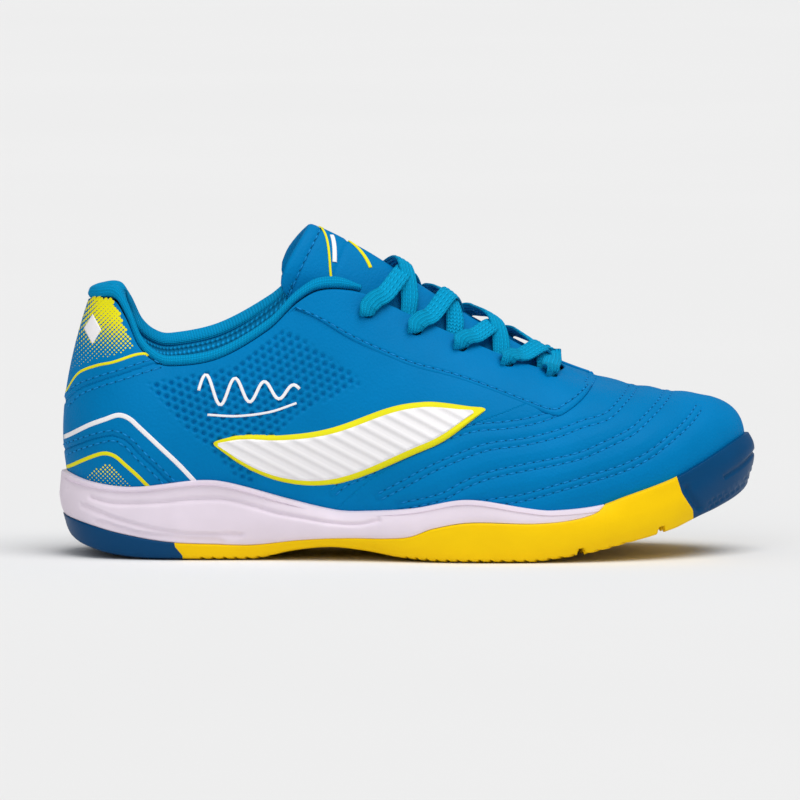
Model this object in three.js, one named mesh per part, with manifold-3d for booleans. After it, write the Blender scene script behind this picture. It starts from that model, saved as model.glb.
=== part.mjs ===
// Indoor court shoe, right foot, closed by a flat lace.
// Millimetres. +X runs from heel to toe, +Y to the inner (medial) side, +Z up; the shoe stands on z = 0,
// and the origin is the middle of its bounding box at the ground.
import * as THREE from "three";
import { mergeVertices } from "three/addons/utils/BufferGeometryUtils.js";
import Module from "manifold-3d";

const wasm = await Module();
wasm.setup();

// ---------------------------------------------------------------- driving dimensions
const soleLength = 236; // heel to toe over the sole
const soleWidth = 86; // across the ball of the foot
const topHeight = 112; // tip of the tongue above the ground

const seatGap = 0.3; // clearance between pieces that are glued or sewn face to face
const looseGap = 0.7; // clearance between the skin and what hangs behind it
const skinThickness = 1.2; // vamp, quarters and heel panels
const facingThickness = 0.8; // facings, laid on the skin
const facingSeat = 0.42; // clearance under the facings
const liningThickness = 0.6;
const stiffenerThickness = 1.0; // heel counter and toe puff
const collarPadding = 4.2; // foam at the sides and heel of the collar
const emblemThickness = 0.5;
const emblemBorder = 1.3; // backing seen round the emblem

const wallOut = 5.6; // side wall of the sole beyond the feather line, at its widest
const wallFoot = 3.4; // the same at the ground
const lipThickness = 2.0; // top of the side wall, against the upper
const treadPlate = 3.2; // outsole under the midsole
const wallRubber = 2.4; // outsole wall outside the midsole
const grooveWidth = 2.6; // flex grooves across the tread
const grooveDepth = 1.9;
const boardThickness = 1.2; // insole board
const linerThickness = 3.4; // sock liner

const eyeletRadius = 2.4;
const laceWidth = 6.4;
const laceThickness = 1.3;
const throatLaceWidth = 3.2; // the lace bunched up inside an eyelet
const bindingRadius = 2.1; // rolled edge of the collar
const bindingHeelGrowth = 0.3; // extra radius at the heel tab

const tongueSkin = 0.8;
const tonguePadding = 2.2; // foam in the throat
const tongueTopPadding = 3.4; // foam at the free end

// ---------------------------------------------------------------- grading
// The guide lines below are drawn for a shoe of 236 x 86 x 112 and graded to the sizes above.
const grade = new THREE.Vector3(soleLength / 236, soleWidth / 86, topHeight / 112);

// ---------------------------------------------------------------- curves
// Smooth curve through rows of [parameter, value, ...]; a period makes it closed.
function curve(rows, period = 0) {
  const count = rows.length;
  const row = (i) => {
    if (!period) return rows[THREE.MathUtils.clamp(i, 0, count - 1)];
    const turns = Math.floor(i / count);
    const [at, ...values] = rows[i - turns * count];
    return [at + turns * period, ...values];
  };
  return (parameter) => {
    let at = parameter;
    if (period) at -= Math.floor((at - rows[0][0]) / period) * period;
    else at = THREE.MathUtils.clamp(at, rows[0][0], rows[count - 1][0]);
    let i = 0;
    while (i < count - 1 && rows[i + 1][0] <= at) i++;
    if (!period) i = Math.min(i, count - 2);
    const [a, b, c, d] = [row(i - 1), row(i), row(i + 1), row(i + 2)];
    const span = c[0] - b[0];
    const u = (at - b[0]) / span;
    return b.slice(1).map((value, k) => {
      const slopeB = ((c[k + 1] - a[k + 1]) / (c[0] - a[0])) * span;
      const slopeC = ((d[k + 1] - b[k + 1]) / (d[0] - b[0])) * span;
      const rise = c[k + 1] - value;
      const cubic = slopeB + slopeC - 2 * rise;
      const square = 3 * rise - 2 * slopeB - slopeC;
      return value + u * (slopeB + u * (square + u * cubic));
    });
  };
}

const vectorCurve = (rows, period) => {
  const at = curve(rows, period);
  return (t) => new THREE.Vector3(...at(t)).multiply(grade);
};
const numberCurve = (rows) => {
  const at = curve(rows);
  return (x) => at(x)[0];
};
// A height over the ground as a function of the place along the shoe.
const heightCurve = (rows) => {
  const at = numberCurve(rows);
  return (x) => at(x / grade.x) * grade.z;
};

// ---------------------------------------------------------------- the upper's surface
// t runs round the shoe: 0 heel, 4 outer waist, 8 toe, 12 inner waist, 16 heel again.
// h runs up: 0 at the feather line, 1 at the edge of the collar and the throat.
const ROUND = 16;
const TOE = 8;

const featherLine = vectorCurve([
  [0, -113, 0, 19], [1, -104, -18.5, 18.5], [2, -80, -25.5, 17.5], [3, -48, -26, 15],
  [4, -14, -30, 12], [5, 20, -37.4, 10.3], [6, 58, -35, 12], [7, 92, -22, 18.5],
  [8, 111.5, 4, 25], [9, 95, 25, 19], [10, 62, 35.5, 12], [11, 30, 37.4, 10.3],
  [12, -10, 28, 12], [13, -46, 23.5, 15], [14, -80, 24.5, 17.5], [15, -104, 18, 18.5],
], ROUND);

const lowerGuide = vectorCurve([
  [0, -122, 0, 38], [1, -109, -25, 37], [2, -80, -33, 34], [3, -48, -34, 34],
  [4, -14, -39, 34], [5, 21, -46, 30], [6, 61, -45, 33], [7, 99, -33, 46],
  [8, 122, 6, 66], [9, 102, 36, 46], [10, 65, 45, 33], [11, 31, 46, 30],
  [12, -10, 37, 34], [13, -46, 33, 34], [14, -80, 32, 34], [15, -109, 25, 37],
], ROUND);

const upperGuide = vectorCurve([
  [0, -115.5, 0, 66], [1, -102, -21, 62], [2, -80, -29, 53], [3, -48, -31, 60],
  [4, -17, -29, 68], [5, 10, -29, 64], [6, 38, -27, 58], [7, 64, -19, 54],
  [8, 87, 2, 46], [9, 66, 21, 56], [10, 38, 28, 63], [11, 14, 30, 70],
  [12, -15, 30, 71], [13, -47, 30, 62], [14, -80, 28.5, 55], [15, -102, 21, 63],
], ROUND);

const openingLine = vectorCurve([
  [0, -108.5, 0, 86.5], [0.5, -105.5, -8, 87], [0.85, -99.5, -12.5, 87], [1.1, -95.5, -15.3, 81],
  [1.4, -91.5, -17.8, 72], [1.7, -86.5, -19.7, 67], [2, -80.5, -21, 65.1], [2.5, -64.5, -23, 67.7],
  [3, -47.5, -22.8, 77.5], [3.3, -38.5, -21.5, 86.3], [3.55, -31, -20, 90.8], [3.9, -21, -17.8, 91],
  [4.25, -13, -15.6, 88.7], [4.7, -2, -14.2, 83.3], [5.3, 12, -13.2, 76.7], [6, 27, -12.3, 69.8],
  [6.8, 41, -11, 64], [7.4, 48.5, -7, 62.4], [8, 51.5, 0.5, 63.6], [8.6, 48.5, 8, 65],
  [9.2, 41, 11.5, 68.3], [10, 27, 12.8, 76], [10.7, 12, 13.7, 84], [11.3, -2, 14.7, 89.5],
  [11.75, -13, 16, 93.5], [12.1, -21, 17.8, 95], [12.45, -31, 19.5, 94.5], [12.7, -38.5, 20.8, 90],
  [13, -47.5, 22, 82.5], [13.5, -64.5, 22.2, 73.3], [14, -80.5, 20.5, 70], [14.3, -86.5, 19.3, 71],
  [14.6, -91.5, 17.5, 75], [14.9, -95.5, 15, 82.5], [15.15, -99.5, 12.3, 87.3], [15.5, -105.5, 8, 87.2],
], ROUND);

function skinPoint(t, h) {
  const k = 1 - h;
  return featherLine(t).multiplyScalar(k * k * k)
    .addScaledVector(lowerGuide(t), 3 * k * k * h)
    .addScaledVector(upperGuide(t), 3 * k * h * h)
    .addScaledVector(openingLine(t), h * h * h);
}

// Outward normal of a surface given as a function of two parameters.
function normalOf(point, u, v, du, dv) {
  const alongU = point(u + du, v).sub(point(u - du, v));
  const alongV = point(u, v + dv).sub(point(u, v - dv));
  return alongU.cross(alongV).normalize();
}

const upper = (t, h, out = 0) =>
  skinPoint(t, h).addScaledVector(normalOf(skinPoint, t, h, 0.03, 0.015), out);

// Height on the upper at which it reaches a height over the ground that depends on x.
function heightWhere(t, levelAt) {
  let [low, high] = [0, 0.7];
  for (let i = 0; i < 24; i++) {
    const h = (low + high) / 2;
    const p = skinPoint(t, h);
    if (p.z < levelAt(p.x)) low = h;
    else high = h;
  }
  return (low + high) / 2;
}

// ---------------------------------------------------------------- meshes and solids
const geometryOf = (points, faces) =>
  new THREE.BufferGeometry().setFromPoints(points).setIndex(faces.flat());

// Closed solid between an outer and an inner sheet over one grid of across x along cells.
function sheetSolid(across, along, outer, inner) {
  const points = [];
  for (const side of [outer, inner])
    for (let j = 0; j <= along; j++)
      for (let i = 0; i <= across; i++) points.push(side(i / across, j / along));
  const row = across + 1;
  const under = row * (along + 1);
  const faces = [];
  const quad = (a, b, c, d) => faces.push([a, b, c], [a, c, d]);
  for (let j = 0; j < along; j++)
    for (let i = 0; i < across; i++) {
      const a = j * row + i;
      quad(a, a + 1, a + row + 1, a + row);
      quad(under + a, under + a + row, under + a + row + 1, under + a + 1);
    }
  for (let i = 0; i < across; i++) {
    const top = along * row + i;
    quad(i + 1, i, under + i, under + i + 1);
    quad(top, top + 1, under + top + 1, under + top);
  }
  for (let j = 0; j < along; j++) {
    const left = j * row;
    const right = left + across;
    quad(left, left + row, under + left + row, under + left);
    quad(right + row, right, under + right, under + right + row);
  }
  return geometryOf(points, faces);
}

// Closed solid through rings that go round the shoe; its two end rings are bridged from side to side.
function ringSolid(rings) {
  const count = rings[0].length;
  const faces = [];
  const quad = (a, b, c, d) => faces.push([a, b, c], [a, c, d]);
  for (let r = 0; r < rings.length - 1; r++)
    for (let i = 0; i < count; i++) {
      const [a, b] = [r * count + i, r * count + ((i + 1) % count)];
      quad(a, b, b + count, a + count);
    }
  const last = (rings.length - 1) * count;
  for (let i = 0; i < count / 2; i++) {
    const [a, b, c, d] = [i, i + 1, count - i - 1, (count - i) % count];
    quad(d, c, b, a);
    quad(last + a, last + b, last + c, last + d);
  }
  return geometryOf(rings.flat(), faces.filter(([i, j, k]) => i !== j && j !== k && i !== k));
}

function solidOf(geometry) {
  const bare = geometry.index ? geometry.toNonIndexed() : geometry.clone();
  for (const name of Object.keys(bare.attributes)) if (name !== "position") bare.deleteAttribute(name);
  const merged = mergeVertices(bare, 1e-4);
  return new wasm.Manifold(new wasm.Mesh({
    numProp: 3,
    vertProperties: merged.attributes.position.array,
    triVerts: new Uint32Array(merged.index.array),
  }));
}

function geometryFrom(solid) {
  const mesh = solid.getMesh();
  const positions = new Float32Array(mesh.numVert * 3);
  for (let i = 0; i < mesh.numVert; i++)
    positions.set(mesh.vertProperties.subarray(i * mesh.numProp, i * mesh.numProp + 3), i * 3);
  return new THREE.BufferGeometry()
    .setAttribute("position", new THREE.BufferAttribute(positions, 3))
    .setIndex(new THREE.BufferAttribute(mesh.triVerts, 1));
}

const largestBody = (solid) =>
  solid.decompose().reduce((best, body) => (body.volume() > best.volume() ? body : best));

// ---------------------------------------------------------------- the shoe
const shoe = new THREE.Group();

const materials = {
  leather: { color: 0x0068ad, roughness: 0.55 },
  leatherLight: { color: 0x0587be, roughness: 0.6 },
  mesh: { color: 0x0a5d9c, roughness: 0.95 },
  lace: { color: 0x0690c0, roughness: 0.9 },
  lining: { color: 0x9a958c, roughness: 0.95 },
  foam: { color: 0xd8d0b8, roughness: 1 },
  board: { color: 0xe8e4d8, roughness: 1 },
  eva: { color: 0xdccedb, roughness: 0.7 },
  rubberYellow: { color: 0xfdc301, roughness: 0.6 },
  rubberNavy: { color: 0x003d6c, roughness: 0.5 },
  white: { color: 0xf0eeea, roughness: 0.5 },
  trimYellow: { color: 0xf0e010, roughness: 0.6 },
};
const madeMaterials = Object.fromEntries(
  Object.entries(materials).map(([name, look]) => [name, new THREE.MeshStandardMaterial({ ...look, metalness: 0 })]),
);

function add(name, geometry, material) {
  const mesh = new THREE.Mesh(geometry, madeMaterials[material]);
  mesh.name = name;
  shoe.add(mesh);
}

// Panel of the upper: t and h as functions of the grid's shares, and its two faces as offsets.
function panel(across, along, tAt, hAt, outer, inner) {
  const face = (offset) => (u, v) => {
    const t = tAt(u, v);
    const h = hAt(t, v);
    return upper(t, h, typeof offset === "function" ? offset(t, h) : offset);
  };
  return sheetSolid(across, along, face(outer), face(inner));
}
const { lerp, smoothstep } = THREE.MathUtils;

// ---------------------------------------------------------------- seams of the upper
const seamGap = 0.012; // half of the gap left along a seam, as a share of the upper's height
const edgeTop = 0.985; // the skin stops just short of the rolled edge
const heelBaseTop = numberCurve([
  [-2.2, -0.06], [-1.6, 0.17], [-1.05, 0.31], [-0.6, 0.31], [0, 0.27],
  [0.6, 0.31], [1.05, 0.31], [1.6, 0.17], [2.2, -0.06],
]);
const heelTabBottom = numberCurve([
  [-1.9, 1.02], [-1.4, 0.82], [-0.9, 0.66], [0, 0.52], [0.9, 0.66], [1.4, 0.82], [1.9, 1.02],
]);
// Front edge of the quarters: t for a height, on either side of the toe.
const quarterFront = numberCurve([
  [0, 3.55], [0.12, 3.8], [0.3, 4.35], [0.5, 5.15], [0.7, 6.05], [0.85, 6.75], [1, 7.2],
]);
const facingBottom = numberCurve([
  [3.4, 0.93], [3.8, 0.8], [4.4, 0.7], [5.2, 0.665], [6, 0.67], [6.8, 0.7], [7.4, 0.755], [7.9, 0.8],
]);

function addQuarter(name, side) {
  const start = 0.03;
  const tAt = (u, v) => side * lerp(start, quarterFront(v) - seamGap * 3, u);
  const hAt = (t, v) => {
    const bottom = Math.max(0, heelBaseTop(t) + seamGap);
    const top = Math.min(edgeTop, heelTabBottom(t) - seamGap);
    return lerp(bottom, top, v);
  };
  return [name, panel(20, 7, side > 0 ? tAt : (u, v) => tAt(1 - u, v), hAt, 0, -skinThickness)];
}

// ---------------------------------------------------------------- eyelets
const eyeletHeight = 0.9;
const eyeletRows = [6.85, 6.1, 5.42, 4.8, 4.15]; // outer side, from the toe upwards
const eyeletRowsInner = [9.15, 9.93, 10.6, 11.2, 11.87];
const eyeletPlace = (row, side) => (side < 0 ? eyeletRows[row] : eyeletRowsInner[row]);

function eyeletCutters(side) {
  return eyeletRows.map((_, row) => {
    const t = eyeletPlace(row, side);
    const axis = upper(t, eyeletHeight, 1).sub(upper(t, eyeletHeight, 0)).normalize();
    const cutter = new THREE.CylinderGeometry(eyeletRadius, eyeletRadius, 24, 12);
    cutter.applyQuaternion(new THREE.Quaternion().setFromUnitVectors(new THREE.Vector3(0, 1, 0), axis));
    cutter.translate(...upper(t, eyeletHeight).toArray());
    return solidOf(cutter);
  });
}
const allEyelets = [-1, 1].flatMap(eyeletCutters);
const pierced = (geometry) =>
  geometryFrom(allEyelets.reduce((solid, cutter) => solid.subtract(cutter), solidOf(geometry)));

// ---------------------------------------------------------------- upper: skin panels
for (const [name, geometry] of [addQuarter("quarter_lateral", 1), addQuarter("quarter_medial", -1)])
  add(name, pierced(geometry), "leather");

add("vamp", pierced(panel(
  30, 8,
  (u, v) => lerp(quarterFront(v) + seamGap * 3, ROUND - quarterFront(v) - seamGap * 3, u),
  (t, v) => lerp(0, edgeTop, v),
  0, -skinThickness,
)), "leatherLight");

add("heel_tab", panel(
  16, 4,
  (u) => lerp(-1.72, 1.72, u),
  (t, v) => lerp(heelTabBottom(t) + seamGap, edgeTop, v),
  0, -skinThickness,
), "leather");

add("heel_base", panel(
  18, 4,
  (u) => lerp(-1.9, 1.9, u),
  (t, v) => lerp(0, heelBaseTop(t) - seamGap, v),
  0, -skinThickness,
), "leather");

const facingRange = [3.45, 7.9];
for (const side of [-1, 1]) {
  const tAt = (u) => {
    const t = lerp(...facingRange, side < 0 ? u : 1 - u);
    return side < 0 ? t : ROUND - t;
  };
  const hAt = (t, v) => lerp(facingBottom(t > TOE ? ROUND - t : t), edgeTop, v);
  add(side < 0 ? "facing_lateral" : "facing_medial",
    pierced(panel(18, 2, tAt, hAt, facingSeat + facingThickness, facingSeat)), "leatherLight");
}

// Side emblem: a long slanted blade from the waist up towards the facing, on a wider backing.
const emblemRange = [2.45, 5.4];
const emblemMiddle = numberCurve([[2.45, 0.42], [3.1, 0.31], [3.7, 0.31], [4.6, 0.46], [5.4, 0.58]]);
const emblemHalf = numberCurve([[2.45, 0.03], [2.9, 0.1], [3.6, 0.12], [4.7, 0.09], [5.4, 0.02]]);
for (const side of [-1, 1]) {
  const blade = (grow, from) => panel(
    14, 3,
    (u) => {
      const t = lerp(emblemRange[0] - grow * 0.05, emblemRange[1] + grow * 0.05, side < 0 ? u : 1 - u);
      return side < 0 ? t : ROUND - t;
    },
    (t, v) => {
      const place = side < 0 ? t : ROUND - t;
      return emblemMiddle(place) + (v * 2 - 1) * (emblemHalf(place) + grow * 0.011);
    },
    from + emblemThickness, from,
  );
  const name = side < 0 ? "lateral" : "medial";
  add(`emblem_backing_${name}`, blade(emblemBorder, looseGap), "trimYellow");
  add(`emblem_${name}`, blade(0, emblemThickness + looseGap + seatGap), "white");
}

// ---------------------------------------------------------------- upper: inner pieces
const behindSkin = -skinThickness - looseGap;
const behindStiffener = behindSkin - stiffenerThickness - looseGap - 0.2;

add("heel_stiffener", panel(
  16, 5, (u) => lerp(-2.5, 2.5, u), (t, v) => lerp(0.04, 0.72 - 0.05 * t * t, v),
  behindSkin, behindSkin - stiffenerThickness,
), "board");

add("toe_puff", panel(
  12, 4, (u) => lerp(6.7, 9.3, u), (t, v) => lerp(0.04, 0.42, v),
  behindSkin - 0.2, behindSkin - 0.2 - stiffenerThickness,
), "board");

// The front lining passes inside the toe puff and comes up against the skin along the throat.
const liningOut = (t, h) => lerp(behindStiffener, behindSkin, smoothstep(h, 0.46, 0.66));
add("forefoot_lining", pierced(panel(
  26, 6, (u) => lerp(4.25, ROUND - 4.25, u), (t, v) => lerp(0.05, edgeTop, v),
  liningOut, (t, h) => liningOut(t, h) - liningThickness,
)), "lining");

// Collar padding: full at the heel and the sides, thin where it meets the tongue, nothing low down.
const collarEnd = 4.0;
const paddingAt = (t, h) => {
  const front = 1 - smoothstep(Math.abs(t), 2.7, 3.5);
  const rise = smoothstep(h, 0.42, 0.7);
  return collarPadding * (0.16 + 0.84 * rise * (0.1 + 0.9 * front));
};
add("collar_foam", panel(
  24, 3, (u) => lerp(-collarEnd, collarEnd, u), (t, v) => lerp(0.5, edgeTop - 0.03, v),
  behindStiffener, (t, h) => behindStiffener - paddingAt(t, h),
), "foam");

const collarLiningOut = (t, h) => behindStiffener - paddingAt(t, h) - looseGap;
add("collar_lining", panel(
  24, 5, (u) => lerp(-collarEnd, collarEnd, u), (t, v) => lerp(0.06, edgeTop - 0.03, v),
  collarLiningOut, (t, h) => collarLiningOut(t, h) - liningThickness,
), "mesh");

// ---------------------------------------------------------------- swept pieces
// Closed rounded strip through sections of { centre, wide, thick }: two half-axis vectors each.
function sweep(sections, sides) {
  const points = [];
  for (const { centre, wide, thick } of sections)
    for (let k = 0; k < sides; k++) {
      const angle = (2 * Math.PI * (k + 0.5)) / sides;
      points.push(centre.clone().addScaledVector(wide, Math.cos(angle)).addScaledVector(thick, Math.sin(angle)));
    }
  const faces = [];
  for (let s = 0; s < sections.length - 1; s++)
    for (let k = 0; k < sides; k++) {
      const [a, b] = [s * sides + k, s * sides + ((k + 1) % sides)];
      faces.push([a, b, b + sides], [a, b + sides, a + sides]);
    }
  const last = (sections.length - 1) * sides;
  for (let k = 1; k < sides - 1; k++) {
    faces.push([0, k + 1, k]);
    faces.push([last, last + k, last + k + 1]);
  }
  return geometryOf(points, faces);
}

// Rolled edge of the collar, sitting on the upper's edge and leaning over the padding.
const bindingRoll = (t) => bindingRadius + bindingHeelGrowth * (1 - smoothstep(Math.abs(t), 0.9, 1.9));
function bindingSection(t) {
  const edge = upper(t, 1);
  const rise = upper(t, 1).sub(upper(t, 0.96)).normalize();
  const out = upper(t, 1, 1).sub(edge).normalize();
  const roll = bindingRoll(t);
  const depth = (roll + skinThickness + 0.6 * paddingAt(t, 1)) * 0.75;
  return {
    centre: edge.addScaledVector(rise, roll * 0.82 + seatGap).addScaledVector(out, 0.9 - depth),
    wide: out.multiplyScalar(-depth),
    thick: rise.multiplyScalar(roll),
  };
}
const bindingSteps = 48;
add("collar_binding", sweep(
  Array.from({ length: bindingSteps + 1 }, (_, i) => bindingSection(lerp(-collarEnd, collarEnd, i / bindingSteps))),
  8,
), "leatherLight");

// ---------------------------------------------------------------- sole
const soleSteps = 44; // stations round the shoe
const around = (at) => Array.from({ length: soleSteps }, (_, i) => at((ROUND * i) / soleSteps));

const treadHeight = heightCurve([
  [-118, 11.5], [-114, 5.8], [-106, 2.5], [-98, 0.9], [-90, 0.1], [-86, 0], [-80, 0], [-62, 0], [-56, 0],
  [-50, 0.4],
  [-41, 2.6], [-33, 3.8], [-25, 4.2], [-14, 3], [-4, 1.2], [6, 0.2], [10, 0], [14, 0], [38, 0],
  [42, 0], [47, 0.6],
  [60, 2.6], [72.5, 5.6], [88.8, 10], [97, 13.5], [105, 16.6], [113, 20.8], [117.5, 25.8],
]);
const bandTop = heightCurve([ // top of the outsole's side wall
  [-118, 13.6], [-110, 11.6], [-98, 8.6], [-82, 5.9], [-65, 5.1], [-53, 4.9], [-37, 6.6], [-21, 7.5],
  [-8, 7.6], [0, 8.4], [7.6, 11.3], [20, 13.5], [44, 13.3], [60, 15.6], [66, 20], [70, 32], [76, 60],
]);
const wallTop = heightCurve([ // top of the whole side wall
  [-118, 27.8], [-112, 26], [-106, 24.8], [-98, 23.9], [-90, 24.1], [-73.5, 26.3], [-65.4, 26.4],
  [-57.3, 24.8], [-41, 20.2], [-25, 16.5], [-16.7, 16.2], [0, 17.5], [15.7, 20.7], [23.8, 20.7],
  [40, 18], [48.2, 17.2], [64.4, 18.7], [72.5, 21.4], [88.8, 27], [96.9, 31], [105, 35.4], [113, 39.6],
  [118, 41],
]);

// Point beside the feather line, level with it, "out" away from the foot.
function soleEdge(t, out) {
  const along = featherLine(t + 0.02).sub(featherLine(t - 0.02)).setZ(0).normalize();
  return featherLine(t).add(new THREE.Vector3(along.y, -along.x, 0).multiplyScalar(out));
}
// Ring round the sole, "out" from the feather line, at a height that depends on x.
const soleRing = (out, heightAt) =>
  around((t) => {
    const p = soleEdge(t, out);
    return p.setZ(heightAt(p.x, t));
  });
// Place of the wall's top on the upper, and a ring there.
const wallTopPlace = (t) => heightWhere(t, wallTop);
const share = (from, to, k) => (x) => lerp(from(x), to(x), k);

const soleBlock = solidOf(ringSolid([
  soleRing(wallFoot - 3.2, treadHeight),
  soleRing(wallFoot - 0.6, (x) => treadHeight(x) + 0.5),
  soleRing(wallFoot + 0.4, (x) => treadHeight(x) + 1.8),
  soleRing(wallOut - 0.6, share(treadHeight, wallTop, 0.28)),
  soleRing(wallOut, share(treadHeight, wallTop, 0.52)),
  soleRing(wallOut - 0.3, share(treadHeight, wallTop, 0.76)),
  around((t) => upper(t, wallTopPlace(t) * 0.97, lipThickness)),
  around((t) => upper(t, wallTopPlace(t), lipThickness * 0.6)),
  around((t) => upper(t, wallTopPlace(t), -4)),
]));

// The upper's outside grown by the seat gap, from the feather line to above the wall.
const footCup = solidOf(ringSolid([
  around((t) => soleEdge(t, 0.2).setZ(featherLine(t).z - seatGap)),
  ...[0.01, 0.06, 0.12, 0.18, 0.25, 0.35, 0.5].map((h) => around((t) => upper(t, h, looseGap))),
]));

// What the outsole holds: everything over the tread plate, inside its wall and above that wall's top.
const midsoleSpace = (grow) => {
  const inToe = (x) => smoothstep(x / grade.x, 61, 66);
  const floor = (x, t) =>
    Math.min(treadHeight(x) + treadPlate, bandTop(x) - 1.2, featherLine(t).z - 1.5) - grow;
  const ledge = (x, t) => lerp(bandTop(x), featherLine(t).z - 0.6, inToe(x)) - grow;
  const inset = wallFoot - wallRubber + grow;
  const proud = (t) => {
    return lerp(wallOut + 6, inset + 0.2, inToe(featherLine(t).x - 9 * grow));
  };
  const top = (x, t) => lerp(60, featherLine(t).z - 0.3, inToe(x - 9 * grow)) + grow;
  const ringAt = (outAt, heightAt) => around((t) => {
    const p = soleEdge(t, outAt(t));
    return p.setZ(heightAt(p.x, t));
  });
  return solidOf(ringSolid([
    ringAt(() => inset - 2, floor),
    ringAt(() => inset, (x, t) => floor(x, t) + 0.3),
    ringAt(() => inset, ledge),
    ringAt(proud, (x, t) => ledge(x, t) + 0.02),
    ringAt(proud, top),
  ]));
};

const midsole = soleBlock.intersect(midsoleSpace(0)).subtract(footCup);
const rubber = soleBlock.subtract(midsoleSpace(seatGap)).subtract(footCup);

// Part of the rubber behind or in front of a line drawn on the side of the shoe.
function sideCut(points, front) {
  const far = front ? 400 : -400;
  const outline = points.map(([x, z]) => new THREE.Vector2(x * grade.x, z * grade.z));
  const first = outline[0];
  const last = outline[outline.length - 1];
  const corners = [new THREE.Vector2(far, last.y), new THREE.Vector2(far, first.y)];
  const block = new THREE.ExtrudeGeometry(new THREE.Shape([...outline, ...corners]), {
    depth: 4 * soleWidth, bevelEnabled: false,
  });
  block.rotateX(Math.PI / 2);
  block.translate(0, 2 * soleWidth, 0);
  return solidOf(block);
}
const heelPadLine = (gap) => [[-74 + gap, -9], [-74 + gap, 1.5], [-76 + gap, 4.5], [-80 + gap, 30]];
const toeCapLine = (gap) => [[97 - gap, -9], [95.6 - gap, 16.5], [91.8 - gap, 22.5], [90 - gap, 28], [89.6 - gap, 60]];

// Flex grooves across the tread, deeper than the plate's skin but not through it.
const grooveRows = [16, 26, 36, 47, 58, 69, 80];
const grooves = grooveRows.map((x) => {
  const bar = new THREE.BoxGeometry(grooveWidth, 3 * soleWidth, grooveDepth * 2);
  bar.rotateZ(-0.16);
  bar.translate(x * grade.x, 0, treadHeight(x * grade.x));
  return solidOf(bar);
});
const grooved = (solid) => grooves.reduce((left, bar) => left.subtract(bar), solid);

add("midsole", geometryFrom(largestBody(midsole)), "eva");
add("outsole", geometryFrom(largestBody(grooved(
  rubber.subtract(sideCut(heelPadLine(seatGap), false)).subtract(sideCut(toeCapLine(seatGap), true)),
))), "rubberYellow");
add("heel_pad", geometryFrom(largestBody(rubber.intersect(sideCut(heelPadLine(0), false)))), "rubberNavy");
add("toe_cap", geometryFrom(largestBody(rubber.intersect(sideCut(toeCapLine(0), true)))), "rubberNavy");

// ---------------------------------------------------------------- inside the shoe
const boardInset = skinThickness + 1.3;
const layer = (inset, from, to) => ringSolid([
  soleRing(-inset - 1, (x, t) => featherLine(t).z + from),
  soleRing(-inset, (x, t) => featherLine(t).z + from + 0.1),
  soleRing(-inset, (x, t) => featherLine(t).z + to),
]);
add("insole_board", layer(boardInset, 0, boardThickness), "board");

const linerInset = skinThickness + stiffenerThickness + liningThickness + 3 * seatGap + 2.6;
const linerFrom = boardThickness + seatGap;
add("sock_liner", layer(linerInset, linerFrom, linerFrom + linerThickness), "mesh");

// ---------------------------------------------------------------- tongue
// t of the opening edge at a place along the shoe, on one side of the throat.
const placeAtX = (x, side) => {
  let [back, front] = [side < 0 ? 4 : 12, TOE];
  for (let i = 0; i < 30; i++) {
    const middle = (back + front) / 2;
    if (openingLine(middle).x < x) back = middle;
    else front = middle;
  }
  return back;
};
const tongueDepth = skinThickness + looseGap + liningThickness + laceThickness + 6 * seatGap;
const ridge = vectorCurve([
  [-34.5, -34.5, 0, 112], [-28.9, -28.9, 0, 109.9], [-20.8, -20.8, 0, 105.9], [-12.7, -12.7, 0, 101.4],
  [-4, -4, 0, 95.8], [8, 8, 0, 88], [20, 20, 0, 80.2], [32, 32, 0, 73.4], [44, 44, 0, 66.6],
  [52, 52, 0, 59.8], [62, 62, 0, 54],
]);
// Free sides of the tongue above the throat, outer and inner shoe side mirrored.
const freeShoulder = vectorCurve([[-34.5, -41, 12.4, 100], [-26, -32.5, 12, 95.5], [-18, -25, 11.6, 91.5], [-4, -12, 11.4, 84]]);
const freeSide = vectorCurve([[-34.5, -45.5, 13.4, 88.5], [-26, -38, 13.4, 83.5], [-18, -29.5, 13.2, 79], [-4, -15, 13, 71]]);
const sideLag = 9; // how far the sides of a row lie behind its middle near the free end
const rootStart = 36; // from here on the tongue keeps its width and runs down under the vamp
const rootSlope = 0.5;

function tongueRow(x) {
  const sidePoint = (side, h, free) => {
    const level = Math.min(x, rootStart);
    const behind = (level - sideLag * (1 - smoothstep(x, -10, 20))) * grade.x;
    const t = placeAtX(Math.max(behind, openingLine(4.1).x), side);
    const held = upper(t, h, -tongueDepth - 0.9 * (1 - smoothstep(x, -12, 2)));
    held.x += (x - level) * grade.x;
    held.z -= (x - level) * rootSlope * grade.z;
    const loose = free(x);
    loose.y *= side;
    if (side > 0) loose.z += 3 * grade.z;
    return held.lerp(loose, 1 - smoothstep(x, -17, 1));
  };
  return new THREE.CatmullRomCurve3([
    sidePoint(-1, 0.8, freeSide), sidePoint(-1, 0.985, freeShoulder), ridge(x),
    sidePoint(1, 0.985, freeShoulder), sidePoint(1, 0.8, freeSide),
  ], false, "centripetal");
}
const rowCache = new Map();
const tonguePoint = (x, v) => {
  if (!rowCache.has(x)) rowCache.set(x, tongueRow(x));
  return rowCache.get(x).getPoint(THREE.MathUtils.clamp(v, 0, 1));
};
const tongue = (x, v, out = 0) =>
  tonguePoint(x, v).addScaledVector(normalOf(tonguePoint, x, THREE.MathUtils.clamp(v, 0.02, 0.98), 0.5, 0.02), out);

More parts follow.
